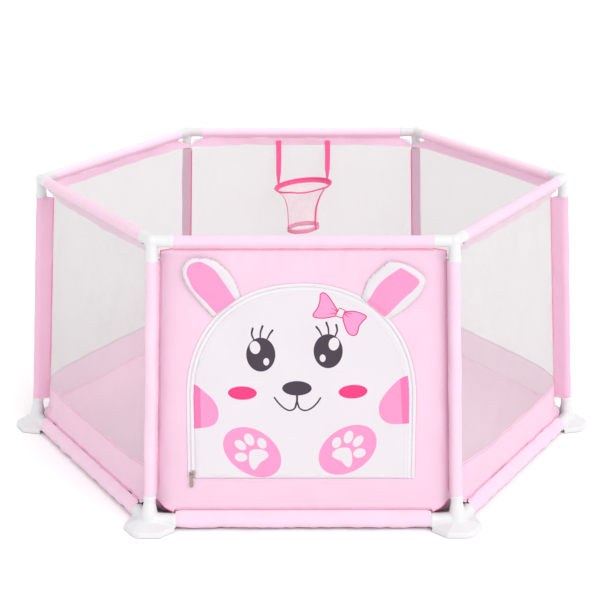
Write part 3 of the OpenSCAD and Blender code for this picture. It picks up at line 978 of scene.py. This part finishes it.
def zip_pieces():
    outer = zip_half("zip_outer_tape", ZIP_MID + 0.5, ZIP_MID + 7.2, 0.2, 1.9, 0.0)
    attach(outer, "frame")
    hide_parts("zip_tape")
    inner = zip_half("zip_inner_tape", ZIP_MID - 7.2, ZIP_MID - 0.5, -1.9, -0.2, 0.5, stop=17.5)
    hinge_blend(inner)


def hinge_blend(piece):
    """Bakes the piece's placement into its mesh. The door's bottom seam joins it to the front wall; the
    points there are found, but nothing uses them.
    """
    low = on_panel(1, 0.0, DOOR_FOOT - 1, 1.0)
    high = on_panel(1, 0.0, DOOR_FOOT + 24, 1.0)
    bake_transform(piece)


# ---------------------------------------------------------------- the door's print


def paw(centre, side):
    """A tilted oval foot with four toes and a pad. side is -1 for the left foot and 1 for the right."""
    shapes = [(ellipse(centre, (66, 46.5), side * 37, 64), print_pink)]
    toes = [((-24, 15), (14, 8.6), 42), ((-6, 27), (14.2, 9.2), 62), ((20, 19), (12, 9), 62),
            ((-23, -11), (13, 9.8), 8)]
    pad = [(-3, 3), (16, 6), (30, 0), (33, -9), (26, -16), (16, -23), (9, -34), (2, -38), (-5, -28),
           (-7, -11)]
    turned = 0 if side < 0 else 9
    c, s = math.cos(math.radians(turned)), math.sin(math.radians(turned))

    def put(p):
        p = np.atleast_2d(np.array(p, float)) * (-side, 1)
        return np.stack([centre[0] + c * p[:, 0] - s * p[:, 1], centre[1] + s * p[:, 0] + c * p[:, 1]], -1)

    for at, half, turn in toes:
        shapes.append((ellipse(put(at)[0], half, side * turn + turned, 28), white_cloth))
    shapes.append((put(spline(pad, closed=True, steps=5)), white_cloth))
    return shapes


def eye(centre, side):
    """An oval eye with two highlights and three lashes. side is -1 for the left eye and 1 for the right."""
    x, v = centre
    lashes = [[(14, 32), (18, 43), (16, 55)], [(1, 36), (0, 48), (-4, 60)], [(-13, 33), (-18, 43), (-24, 51)]]
    shapes = [(ellipse(centre, (29.4, 36), 0, 56), print_dark)]
    for lash in lashes:
        line = [(x + side * a, v + b) for a, b in lash]
        shapes.append((stroke(line, (3.0, 4.4)), print_dark))
    shapes.append((ellipse((x + side * 11.5, v + 15), (10.6, 13.6), -side * 8, 32), white_cloth))
    shapes.append((ellipse((x - side * 11, v - 15), (6.0, 8.0), 0, 24), white_cloth))
    return shapes


def bow():
    """A ribbon bow, drawn with a darker outline and creases."""
    left = [(68, 453), (61, 465), (50, 482), (41, 489), (34, 486), (33, 473), (29, 459), (20, 446), (22, 439),
            (40, 437), (58, 440), (67, 443)]
    right = [(82, 449), (97, 451), (110, 449), (124, 443), (126, 438), (119, 430), (112, 420), (109, 407),
             (104, 401), (97, 401), (90, 406), (85, 416), (81, 429), (79, 440)]
    knot = [(72, 458), (84, 453), (78, 437), (64, 442)]
    shapes = []
    for lobe in (left, right):
        loop = spline(lobe, closed=True, steps=5)
        shapes += [(grown(loop, 1.1), print_edge), (grown(loop, -1.1), print_bow)]
    creases = [[(68, 450), (62, 455), (56, 457)], [(67, 447), (60, 447), (52, 446)],
               [(84, 448), (91, 447), (98, 446)], [(83, 445), (88, 441), (92, 438)]]
    shapes += [(stroke(line, (2.4, 0.8), 4), print_edge) for line in creases]
    shapes += [(grown(dense(knot, 3), 0.9), print_edge), (grown(dense(knot, 3), -1.1), white_cloth)]
    return shapes


def side_arms():
    """The half ovals at the two edges of the flap, each with a darker fold along the edge."""
    left = [(-230, 297), (-219, 296), (-201, 281), (-185, 266), (-175, 248), (-173, 231), (-178, 216),
            (-188, 208), (-204, 204), (-224, 202), (-231, 203)]
    right = [(222, 318), (202, 312), (186, 299), (168, 278), (156, 258), (154, 241), (158, 226), (168, 216),
             (181, 212), (200, 212), (224, 214)]
    left_fold = [(-230, 320), (-209.5, 320), (-209.5, 190), (-230, 190)]
    right_fold = [(196, 318), (230, 318), (230, 205), (203, 205)]
    shapes = []
    for loop, fold in ((left, left_fold), (right, right_fold)):
        lobe = spline(loop, steps=5)
        shapes.append((lobe, print_pink))
        inside = clipped(lobe, dense(fold, 6.0))
        if len(inside) > 2:
            shapes.append((inside, print_deep))
    return shapes


def clipped(loop, window_loop):
    """The part of a loop inside a convex loop (Sutherland-Hodgman)."""
    clip = leftwards(window_loop)
    out = [tuple(p) for p in loop]
    for a, b in zip(clip, np.roll(clip, -1, 0)):
        kept, d = [], b - a

        def inside(p):
            return d[0] * (p[1] - a[1]) - d[1] * (p[0] - a[0]) >= -1e-9

        for p, q in zip(out, out[1:] + out[:1]):
            if inside(p) != inside(q):
                e = np.array(q) - p
                t = (d[1] * (p[0] - a[0]) - d[0] * (p[1] - a[1])) / (d[0] * e[1] - d[1] * e[0])
                cross = tuple(np.array(p) + t * e)
                kept += [p, cross] if inside(p) else [cross]
            elif inside(p):
                kept.append(p)
        out = kept
    return np.array(out, float)


def face():
    """Every printed shape of the rabbit's face, in the order in which they lie on each other."""
    smile = [(-13, 274), (-13, 263), (-17, 247), (-28, 241.5), (-40, 247), (-51, 258), (-59, 269)]
    other = [(-13, 263), (-8, 247), (4, 241.5), (17, 247), (28, 258), (35, 269)]
    shapes = side_arms() + paw((-105, 151), -1) + paw((91, 156), 1)
    shapes += eye((-86, 361), -1) + eye((50, 368), 1)
    shapes += [(stroke(smile[:3], (4.4, 3.6)), print_dark), (stroke(smile[1:], 3.4), print_dark),
               (stroke(other, 3.4), print_dark), (ellipse((-13, 289), (30, 15.4), 0, 48), print_dark),
               (ellipse((-124, 279), (29.5, 14.6), -2, 44), print_hot),
               (ellipse((101, 282), (29.5, 14.6), 2, 44), print_hot)]
    shapes += bow()
    return shapes


def hem_line():
    """The fold of the flap's own hem: a thin, slightly darker line a little inside its edge, which paints the
    fold's shade.
    """
    outer, inner = arch(-8.6, foot=DOOR_FOOT + 1), arch(-10.0, foot=DOOR_FOOT + 1)
    return np.vstack([outer, inner[::-1]])


def door_flap():
    outline = arch(0)
    shapes = [(hem_line(), hem_shade_line)] + face()
    kinds = [white_cloth]
    for _, material in shapes:
        if material not in kinds:
            kinds.append(material)
    points, faces, index = cut_cloth(outline, [], [loop for loop, _ in shapes], spacing=9.0)
    index = [0 if k == 0 else kinds.index(shapes[k - 1][1]) for k in index]
    x, v = points[:, 0], points[:, 1]
    edge = far_from(points, outline)
    height = front_height(x, v) + ripple(9, points, 120, (1, 1.7)) * 0.8 * (1 - np.exp(-edge / 25))
    height += 0.7 * np.exp(-((edge - 5) / 3.5) ** 2)
    place = on_panel(1, x, v, height)
    cloth = Cloth().add(place, facing(place, faces, panel_axes(1)[3]), points, index)
    area = cloth.area()
    flap = cloth.build("door_flap_cloth", kinds, thick=0.3, back=flap_back)
    hinge_blend(flap)
    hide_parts("door_flap")


# ---------------------------------------------------------------- slider


def on_slider(x, v, n):
    """Millimetres from the slider's middle, on the front panel."""
    low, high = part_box("zip_slider")
    x0 = (low.x + high.x) / 2 / MM
    v0 = ((low.z + high.z) / 2 / MM - RAIL_Z) / math.cos(LEAN)
    return on_panel(1, x0 + np.asarray(x, float), v0 + np.asarray(v, float), n)


def plate(name, outline, low, high, material, holes=(), bevel=0.4):
    """A small cast plate: an outline with holes, from height low to high, with rounded edges."""
    points, faces, _ = cut_cloth(outline, holes, spacing=40.0)
    bm = bmesh.new()
    verts = [bm.verts.new(p) for p in on_slider(points[:, 0], points[:, 1], low)]
    for f in faces:
        bm.faces.new([verts[k] for k in f])
    bmesh.ops.dissolve_limit(bm, angle_limit=0.01, verts=bm.verts, edges=bm.edges)
    normal = panel_axes(1)[3] * (high - low) * MM
    top = bmesh.ops.extrude_face_region(bm, geom=list(bm.faces))
    top_verts = [g for g in top["geom"] if isinstance(g, bmesh.types.BMVert)]
    bmesh.ops.translate(bm, vec=Vector(normal), verts=top_verts)
    bmesh.ops.recalc_face_normals(bm, faces=bm.faces)
    mesh = bpy.data.meshes.new(name)
    bm.to_mesh(mesh)
    bm.free()
    obj = plain_object(name, mesh, [material])
    m = obj.modifiers.new("Edges", "BEVEL")
    m.width, m.segments, m.limit_method, m.angle_limit = bevel * MM, 3, "ANGLE", math.radians(40)
    for p in mesh.polygons:
        p.use_smooth = True
    return obj


def slider():
    body = spline([(-3.2, -6), (3.2, -6), (3.6, -2), (4.6, 2.5), (4.2, 5.6), (1.6, 6.2), (0, 4.4),
                   (-1.6, 6.2), (-4.2, 5.6), (-4.6, 2.5), (-3.6, -2)], closed=True, steps=4)
    base = plate("slider_body", body, 2.4, 4.8, slider_metal)
    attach(base, "slider")
    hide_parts("zip_slider")
    for side in (-1, 1):
        lug = [(side * x, v) for x, v in ((2.9, -2.2), (4.3, -2.2), (4.3, 2.2), (2.9, 2.2))]
        plate(f"slider_lug_{side + 2}", lug, 4.5, 7.6, slider_metal).parent = base
    pin = [(-3.6, -0.6), (3.6, -0.6), (3.6, 0.6), (-3.6, 0.6)]
    plate("slider_pin", pin, 5.7, 6.7, slider_metal, bevel=0.3).parent = base
    tab = spline([(-2.3, 1.6), (2.3, 1.6), (2.3, -3), (2.5, -7), (3.5, -12), (3.8, -20), (2.9, -25.4),
                  (0, -27), (-2.9, -25.4), (-3.8, -20), (-3.5, -12), (-2.5, -7), (-2.3, -3)],
                 closed=True, steps=5)
    slot_hole = ellipse((0, -21), (1.6, 2.1), 0, 20)
    pull = plate("slider_pull", tab, 5.5, 6.9, slider_metal, [slot_hole])
    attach(pull, "pull")
    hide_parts("zip_pull")


# ---------------------------------------------------------------- ears

EAR_SEAT = (148.0, 455.0)
EAR_LEAN = math.radians(37)
EAR_THICK = 6.2
EAR_ROUND = 13

# Outlines in the ear's own millimetres, from its base upwards.
UPRIGHT_EAR = [(38, 5), (42, 17), (50, 53), (47, 80), (38, 103), (21, 119), (6, 128), (-9, 127),
               (-24, 117), (-34, 88), (-35, 40), (-33, 5)]
UPRIGHT_INNER = [(26, 5.8), (28, 29), (30, 55), (31, 79), (26, 99), (17, 114), (-2, 120), (-16, 112),
                 (-22, 98), (-27, 74), (-24, 38), (-22, 5.8)]
FOLDED_EAR = [(34, -4), (47, 33), (52, 68), (50, 90), (44, 109), (21, 115), (-12, 110), (-36, 98), (-41, 91),
              (-47, 61), (-48, 34), (-37, 2)]
FOLDED_INNER = [(25, -2.4), (30, 51), (35, 79), (31, 102), (-11, 101), (-16, 94), (-25, 63), (-27, 39),
                (-23, 1.8)]


def from_base(points):
    """A smooth loop over the ear's tip, closed by its straight base."""
    return dense(spline(points, steps=5), 3.0)


def ear(side, name, outer_edge, inner_edge):
    """A padded ear, sewn to the arch's seam and lying against the front wall."""
    outline, inner = from_base(outer_edge), from_base(inner_edge)
    points, faces, index = cut_cloth(outline, [], [inner], spacing=3.4)
    edge = far_from(points, outline)
    roundness = 1 - np.clip(edge / EAR_ROUND, 0, 1)
    crown = EAR_THICK * np.sqrt(np.clip(1 - roundness ** 2, 0, 1))
    groove = 0.6 * np.exp(-(far_from(points, inner) / 1.6) ** 2)
    a, b = points[:, 0], points[:, 1]
    gathers = puckers(20 + side, a, 22) * 0.8 * np.exp(-b / 16)
    folds = ripple(22 + side, points, 38, (1, 1.5)) * 0.45 * np.clip(edge / 10, 0, 1)
    flat_base = np.clip(b / 12, 0.35, 1)
    top = (crown - groove * (edge > 1.0) + folds + gathers) * flat_base
    low = -0.8 * np.clip(edge / 8, 0, 1)
    lift = 3.1 + 7.0 * np.clip(b / 128, 0, 1) ** 1.6
    turn = -side * EAR_LEAN
    c, s = math.cos(turn), math.sin(turn)
    x = DOOR_X + side * EAR_SEAT[0] + c * a - s * b
    v = EAR_SEAT[1] + s * a + c * b
    rim = edge < 1e-6
    front = on_panel(1, x, v, lift + np.where(rim, 0, np.maximum(top, 0.05)))
    back = on_panel(1, x, v, lift + np.where(rim, 0, low))
    normal = panel_axes(1)[3]
    faces = facing(front, faces, normal)
    count = len(points)
    weld = {k: k for k in np.nonzero(rim)[0]}
    back_faces = [[weld.get(k, k + count) for k in f][::-1] for f in faces]
    cloth = Cloth()
    kinds = index + [0] * len(back_faces)
    cloth.add(np.vstack([front, back]), faces + back_faces, np.vstack([points, points]), kinds)
    piece = cloth.build(name, [white_cloth, print_pink])
    tidy = bmesh.new()
    tidy.from_mesh(piece.data)
    bmesh.ops.delete(tidy, geom=[p for p in tidy.verts if not p.link_faces], context="VERTS")
    tidy.to_mesh(piece.data)
    tidy.free()
    body = "left_ear" if side < 0 else "right_ear"
    ahead = np.array([-s, c])
    seat = np.array([DOOR_X + side * EAR_SEAT[0], EAR_SEAT[1]])
    start = on_panel(1, *seat, 1.8)
    end = on_panel(1, *(seat + 16 * ahead), 1.8)
    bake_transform(piece)
    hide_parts(body)


def ears():
    ear(-1, "left_ear_pad", UPRIGHT_EAR, UPRIGHT_INNER)
    ear(1, "right_ear_pad", FOLDED_EAR, FOLDED_INNER)


# ---------------------------------------------------------------- floor


FLOOR_STEP = 11.0
FLOOR_REACH = 554.0
FLOOR_LIFT = 3.2


def floor_sheet():
    """The floor is sewn to the walls above the bottom rails and slopes down to the ground inside."""
    edge = []
    for i in PANELS:
        corner = low_corner()
        corner = [corner[0], corner[2]]
        line = dense([(-x, v) for x, v in corner[::-1]] + corner, FLOOR_STEP, closed=False)[:-1]
        edge.append(on_panel(i, line[:, 0], line[:, 1], sink(line[:, 0], line[:, 1], 52) - 0.6))
    edge = np.vstack(edge) / MM
    inwards = [0, 3, 7, 12, 18, 25, 33, 43, 56, 75, 100, 135, 180, 235, 300, 370, 440, 500, 540, 552]
    rings = []
    for d in inwards:
        xy = edge[:, :2] * (1 - d / FLOOR_REACH)
        fall = np.exp(-(d / 24.0) ** 1.35)
        bumps = ripple(15, xy, 150) * 1.1 * (1 - fall) + ripple(16, xy, 45) * 0.35 * (1 - fall)
        along = np.arange(len(edge)) * FLOOR_STEP
        gathers = puckers(17, along, 40) * 2.2 * np.exp(-((d - 26) / 20.0) ** 2)
        z = (edge[:, 2] - FLOOR_LIFT) * fall + FLOOR_LIFT + np.maximum(bumps, -1.6) + gathers * (d > 0)
        rings.append(np.column_stack([xy, z]))
    points = np.vstack(rings)
    points[:, 2] = np.maximum(points[:, 2], 1.2)
    faces = grid_faces(len(inwards), len(edge), close_columns=True)
    faces.append(list(range(len(points) - len(edge), len(points)))[::-1])
    faces = facing(points, faces, UP)
    cloth = Cloth().add(points * MM, faces, points[:, :2])
    area = cloth.area()
    sheet = cloth.build("floor_cloth", [floor_cloth])
    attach(sheet, "frame")
    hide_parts("floor_sheet")


# ---------------------------------------------------------------- hoop

BAND_LOW, BAND_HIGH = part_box("hoop_band")
HOOP_X = (BAND_LOW.x + BAND_HIGH.x) / 2 / MM
HOOP_Y = (BAND_LOW.y + BAND_HIGH.y) / 2 / MM
HOOP_Z = (BAND_LOW.z + BAND_HIGH.z) / 2 / MM
HOOP_R = (BAND_HIGH.x - BAND_LOW.x) / 2 / MM
# The ring hangs lower at its left.
HOOP_ROLL = 0.11
RIM_R = 2.1
# How far the net is from round, as a share of its radius.
BAG_OVAL = 0.035


def round_hoop(angle, radius, height):
    """A point round the hoop's upright axis: angle 0 points to +X, height from the band's middle."""
    angle, radius, height = np.broadcast_arrays(angle, radius, height)
    height = height + HOOP_ROLL * radius * np.cos(angle)
    x = HOOP_X + radius * np.cos(angle)
    y = HOOP_Y + radius * np.sin(angle)
    return MM * np.stack([x, y, HOOP_Z + height], -1)


def lathe(cloth, profile, index, seed, wrinkle, steps=96, squash=None, droop=None):
    """A band of cloth turned round the hoop's axis, with a little unevenness."""
    profile = np.array(profile, float)
    a = np.linspace(0, 2 * math.pi, steps, endpoint=False)
    along = lengths(profile)
    radius, angle = np.meshgrid(profile[:, 0], a, indexing="ij")
    height, _ = np.meshgrid(profile[:, 1], a, indexing="ij")
    s, _ = np.meshgrid(along, a, indexing="ij")
    p = np.stack([radius * np.cos(angle) + s, radius * np.sin(angle) - s], -1)
    radius = radius + ripple(seed, p, 34) * wrinkle * np.clip(s / 12, 0.15, 1)
    if squash is not None:
        radius = radius * (1 + squash(angle, s))
    if droop is not None:
        height = height + droop(angle, s)
    points = round_hoop(angle, radius, height)
    uv = np.stack([angle * 60, s], -1)
    cloth.add(points, grid_faces(len(profile), steps, close_columns=True), uv, index)


def net_profile():
    """Radius and height of the net, from under the band to the hem."""
    shape = [(64.5, -4.5), (58, -11), (52, -20), (47.5, -30), (44, -41), (41, -54), (39.5, -70), (39, -88),
             (39, -104), (39.5, -113)]
    return spline(shape, steps=4)


def hoop():
    band = Cloth()
    turn = np.linspace(-math.pi, math.pi, 13)
    rim = [(HOOP_R + 1.2 + RIM_R * math.cos(t), 4.4 + RIM_R * math.sin(t)) for t in turn]

    def wavy(angle, s):
        front = np.clip(-np.sin(angle), 0, 1)
        return front * (-1.5 + 1.6 * np.exp(-((angle - 4.3) / 0.22) ** 2) + 0.8 * np.sin(5 * angle))

    def thinner(angle, s):
        return wavy(angle, s) + s * 0.62 * np.clip(-np.sin(angle), 0, 1)

    lathe(band, rim, 0, 101, 0.15, droop=wavy)
    strip = [(HOOP_R + 0.6, 3.8), (HOOP_R - 1.2, 1.0), (HOOP_R - 3.4, -2.4), (HOOP_R - 5.8, -5.8)]
    lathe(band, strip, 0, 102, 0.35, droop=thinner)
    ring = band.build("hoop_ring", [hoop_cloth])
    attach(ring, "hoop")
    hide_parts("hoop_band")

    def lean(angle, s):
        return BAG_OVAL * np.sin(2 * angle + 0.4) * np.clip(s / 60, 0, 1)

    net = Cloth()
    profile = net_profile()
    lathe(net, profile, 0, 103, 1.1, squash=lean)
    bag = net.build("hoop_bag_net", [hoop_netting])
    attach(bag, "hoop")
    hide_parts("hoop_net")
    trims = Cloth()
    hem = [(39.9, -104), (40.4, -106), (40.4, -113), (39.9, -115), (39.2, -113), (39.2, -106)]
    lathe(trims, hem, 1, 103, 1.0, squash=lambda angle, s: BAG_OVAL * np.sin(2 * angle + 0.4))
    for angle0, wide in ((-0.55, 4.2), (math.pi + 0.4, 1.7)):
        line = profile + (0.9, 0)
        across = np.linspace(-1, 1, 5)
        r, w = np.meshgrid(line[:, 0], across, indexing="ij")
        h, _ = np.meshgrid(line[:, 1], across, indexing="ij")
        s, _ = np.meshgrid(np.linspace(0, 120, len(line)), across, indexing="ij")
        angle = angle0 + w * wide / r + 0.05 * np.sin(s / 19)
        radius = (r + 0.7 * (1 - w ** 2)) * (1 + lean(angle, s))
        trims.add(round_hoop(angle, radius, h), grid_faces(len(line), 5), np.stack([w * wide, s], -1), 0)
    trim = trims.build("hoop_net_trim", [hoop_cloth, hem_cloth], thick=0.6)
    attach(trim, "hoop")
    straps()


def straps():
    for name in ("left_strap", "right_strap"):
        low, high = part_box(name)
        x0 = (low.x + high.x) / 2 / MM
        top = np.array([x0, high.y / MM - 0.5, high.z / MM - 1])
        bottom = np.array([x0, HOOP_Y + math.sqrt(HOOP_R ** 2 - (x0 - HOOP_X) ** 2) + 1.5, HOOP_Z + 4.0])
        share = np.linspace(0, 1, 40)
        across = np.linspace(-1, 1, 7)
        t, w = np.meshgrid(share, across, indexing="ij")
        half = 6.8 * (1 - 0.1 * t) * np.where(t > 0.72, 1 - 0.58 * ((t - 0.72) / 0.28), 1)
        twist = 0.5 * np.clip((t - 0.6) / 0.4, 0, 1) * (1 if x0 > HOOP_X else -1)
        sag = 1.6 * np.sin(math.pi * t)
        bottom[2] = HOOP_Z + 4.0 + HOOP_ROLL * (x0 - HOOP_X)
        x = top[0] + w * half * np.cos(twist) + 0.5 * np.sin(5 * t)
        y = top[1] + (bottom[1] - top[1]) * t + w * half * np.sin(twist) - sag + 0.5 * (1 - w ** 2)
        z = top[2] + (bottom[2] - top[2]) * t
        cloth = Cloth().add(MM * np.stack([x, y, z], -1), grid_faces(40, 7),
                            np.stack([w * half, t * (top[2] - bottom[2])], -1))
        piece = cloth.build(f"{name}_webbing", [hoop_cloth], thick=1.0)
        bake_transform(piece)
        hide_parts(name)


# ---------------------------------------------------------------- stitches


def stitch_line(points, normals, length=2.6, gap=1.3, width=0.45):
    """Short raised threads along a line of points in millimetres."""
    along = lengths(points)
    at = np.arange(gap, along[-1] - length, length + gap)
    first, last = picked(points, along, at), picked(points, along, at + length)
    normal = picked(normals, along, at)
    ahead = (last - first) / np.linalg.norm(last - first, axis=1)[:, None]
    side = np.cross(normal, ahead)
    crest = (first + last) / 2 + normal * 0.55
    run, half = ahead * length * 0.3, side * width * 0.5
    corners = np.stack([first - side * width, first + side * width, last + side * width, last - side * width,
                        crest - run - half, crest - run + half, crest + run + half, crest + run - half], 1)
    faces = []
    for k in range(len(at)):
        b = 8 * k
        faces += [[b + 4, b + 5, b + 6, b + 7], [b, b + 1, b + 5, b + 4], [b + 1, b + 2, b + 6, b + 5],
                  [b + 2, b + 3, b + 7, b + 6], [b + 3, b, b + 4, b + 7]]
    return corners.reshape(-1, 3), faces


def add_stitches(cloth, i, line, height):
    line = dense(line, 6.0, closed=False)
    points = on_cloth(i, line, height, 0.45) / MM
    normals = np.repeat(panel_axes(i)[3][None, :], len(points), axis=0)
    corners, faces = stitch_line(points, normals)
    cloth.add(corners * MM, faces, np.zeros((len(corners), 2)))


def stitching():
    """Sewn lines beside the seams of every wall, and round the door."""
    for i in PANELS:
        cloth = Cloth()
        if i == 1:
            height = front_height
        else:
            def height(x, v, i=i):
                return wall_height(i, x, v)
        low = LOW_SEAM + 3
        add_stitches(cloth, i, [(-LOW_SLEEVE_HALF, low), (LOW_SLEEVE_HALF, low)], height)
        for side in (-1, 1):
            ends = (62, 550) if i == 1 else (62, 100)
            add_stitches(cloth, i, [(side * (seam_x(v) - 4), v) for v in ends], height)
        if i == 1:
            top = PANEL_LEN - SEAM_DROP - 3
            add_stitches(cloth, i, [(-TOP_SLEEVE_HALF, top), (TOP_SLEEVE_HALF, top)], height)
            add_stitches(cloth, i, arch(13.5, foot=DOOR_FOOT), height)
        else:
            half = seam_x(WINDOW_LOW) - 3
            add_stitches(cloth, i, [(-half, WINDOW_LOW - 5), (half, WINDOW_LOW - 5)], height)
        piece = cloth.build(f"stitching_{i}", [seam_thread])
        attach(piece, "frame")


# ---------------------------------------------------------------- everything


def carried_over():
    """Tubes and pads keep their CAD shape and get their finish here."""
    for name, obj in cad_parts.items():
        kind = None
        if "_tube_" in name:
            kind = tube_paint
        elif name.startswith("foot_pad"):
            kind = pad_rubber
        if kind is not None:
            obj.data.materials.clear()
            obj.data.materials.append(kind)


def studio():
    scene = bpy.context.scene
    scene.view_settings.view_transform = "Standard"
    world = bpy.data.worlds.new("Studio")
    world.use_nodes = True
    world.node_tree.nodes["Background"].inputs["Color"].default_value = (1, 1, 1, 1)
    world.node_tree.nodes["Background"].inputs["Strength"].default_value = 1.0
    scene.world = world
    sun = bpy.data.lights.new("Key", "SUN")
    sun.energy = 1.2
    sun.angle = math.radians(40)
    key = bpy.data.objects.new("Key", sun)
    scene.collection.objects.link(key)
    key.rotation_euler = Vector((0.55, -0.8, 0.8)).to_track_quat("Z", "Y").to_euler()
    mesh = bpy.data.meshes.new("Studio_floor")
    half = 20.0
    corners = [(-half, -half, 0), (half, -half, 0), (half, half, 0), (-half, half, 0)]
    mesh.from_pydata(corners, [], [(0, 1, 2, 3)])
    material, _, shader = new_material("Studio_white")
    shader.inputs["Base Color"].default_value = (0.97, 0.97, 0.97, 1)
    shader.inputs["Roughness"].default_value = 0.9
    shader.inputs["Specular IOR Level"].default_value = 0.1
    plain_object("studio_floor", mesh, [material])
    data = bpy.data.cameras.new("Camera")
    data.sensor_width = 36
    data.lens = 92.7
    data.clip_end = 200
    cam = bpy.data.objects.new("Camera", data)
    scene.collection.objects.link(cam)
    cam.location = (-0.015, -3.467, 1.456)
    cam.rotation_euler = (math.radians(90 - 18.15), 0, math.radians(-0.16))
    scene.camera = cam


carried_over()
connectors()
walls()
front_cover()
zip_pieces()
door_flap()
slider()
ears()
floor_sheet()
hoop()
stitching()
studio()
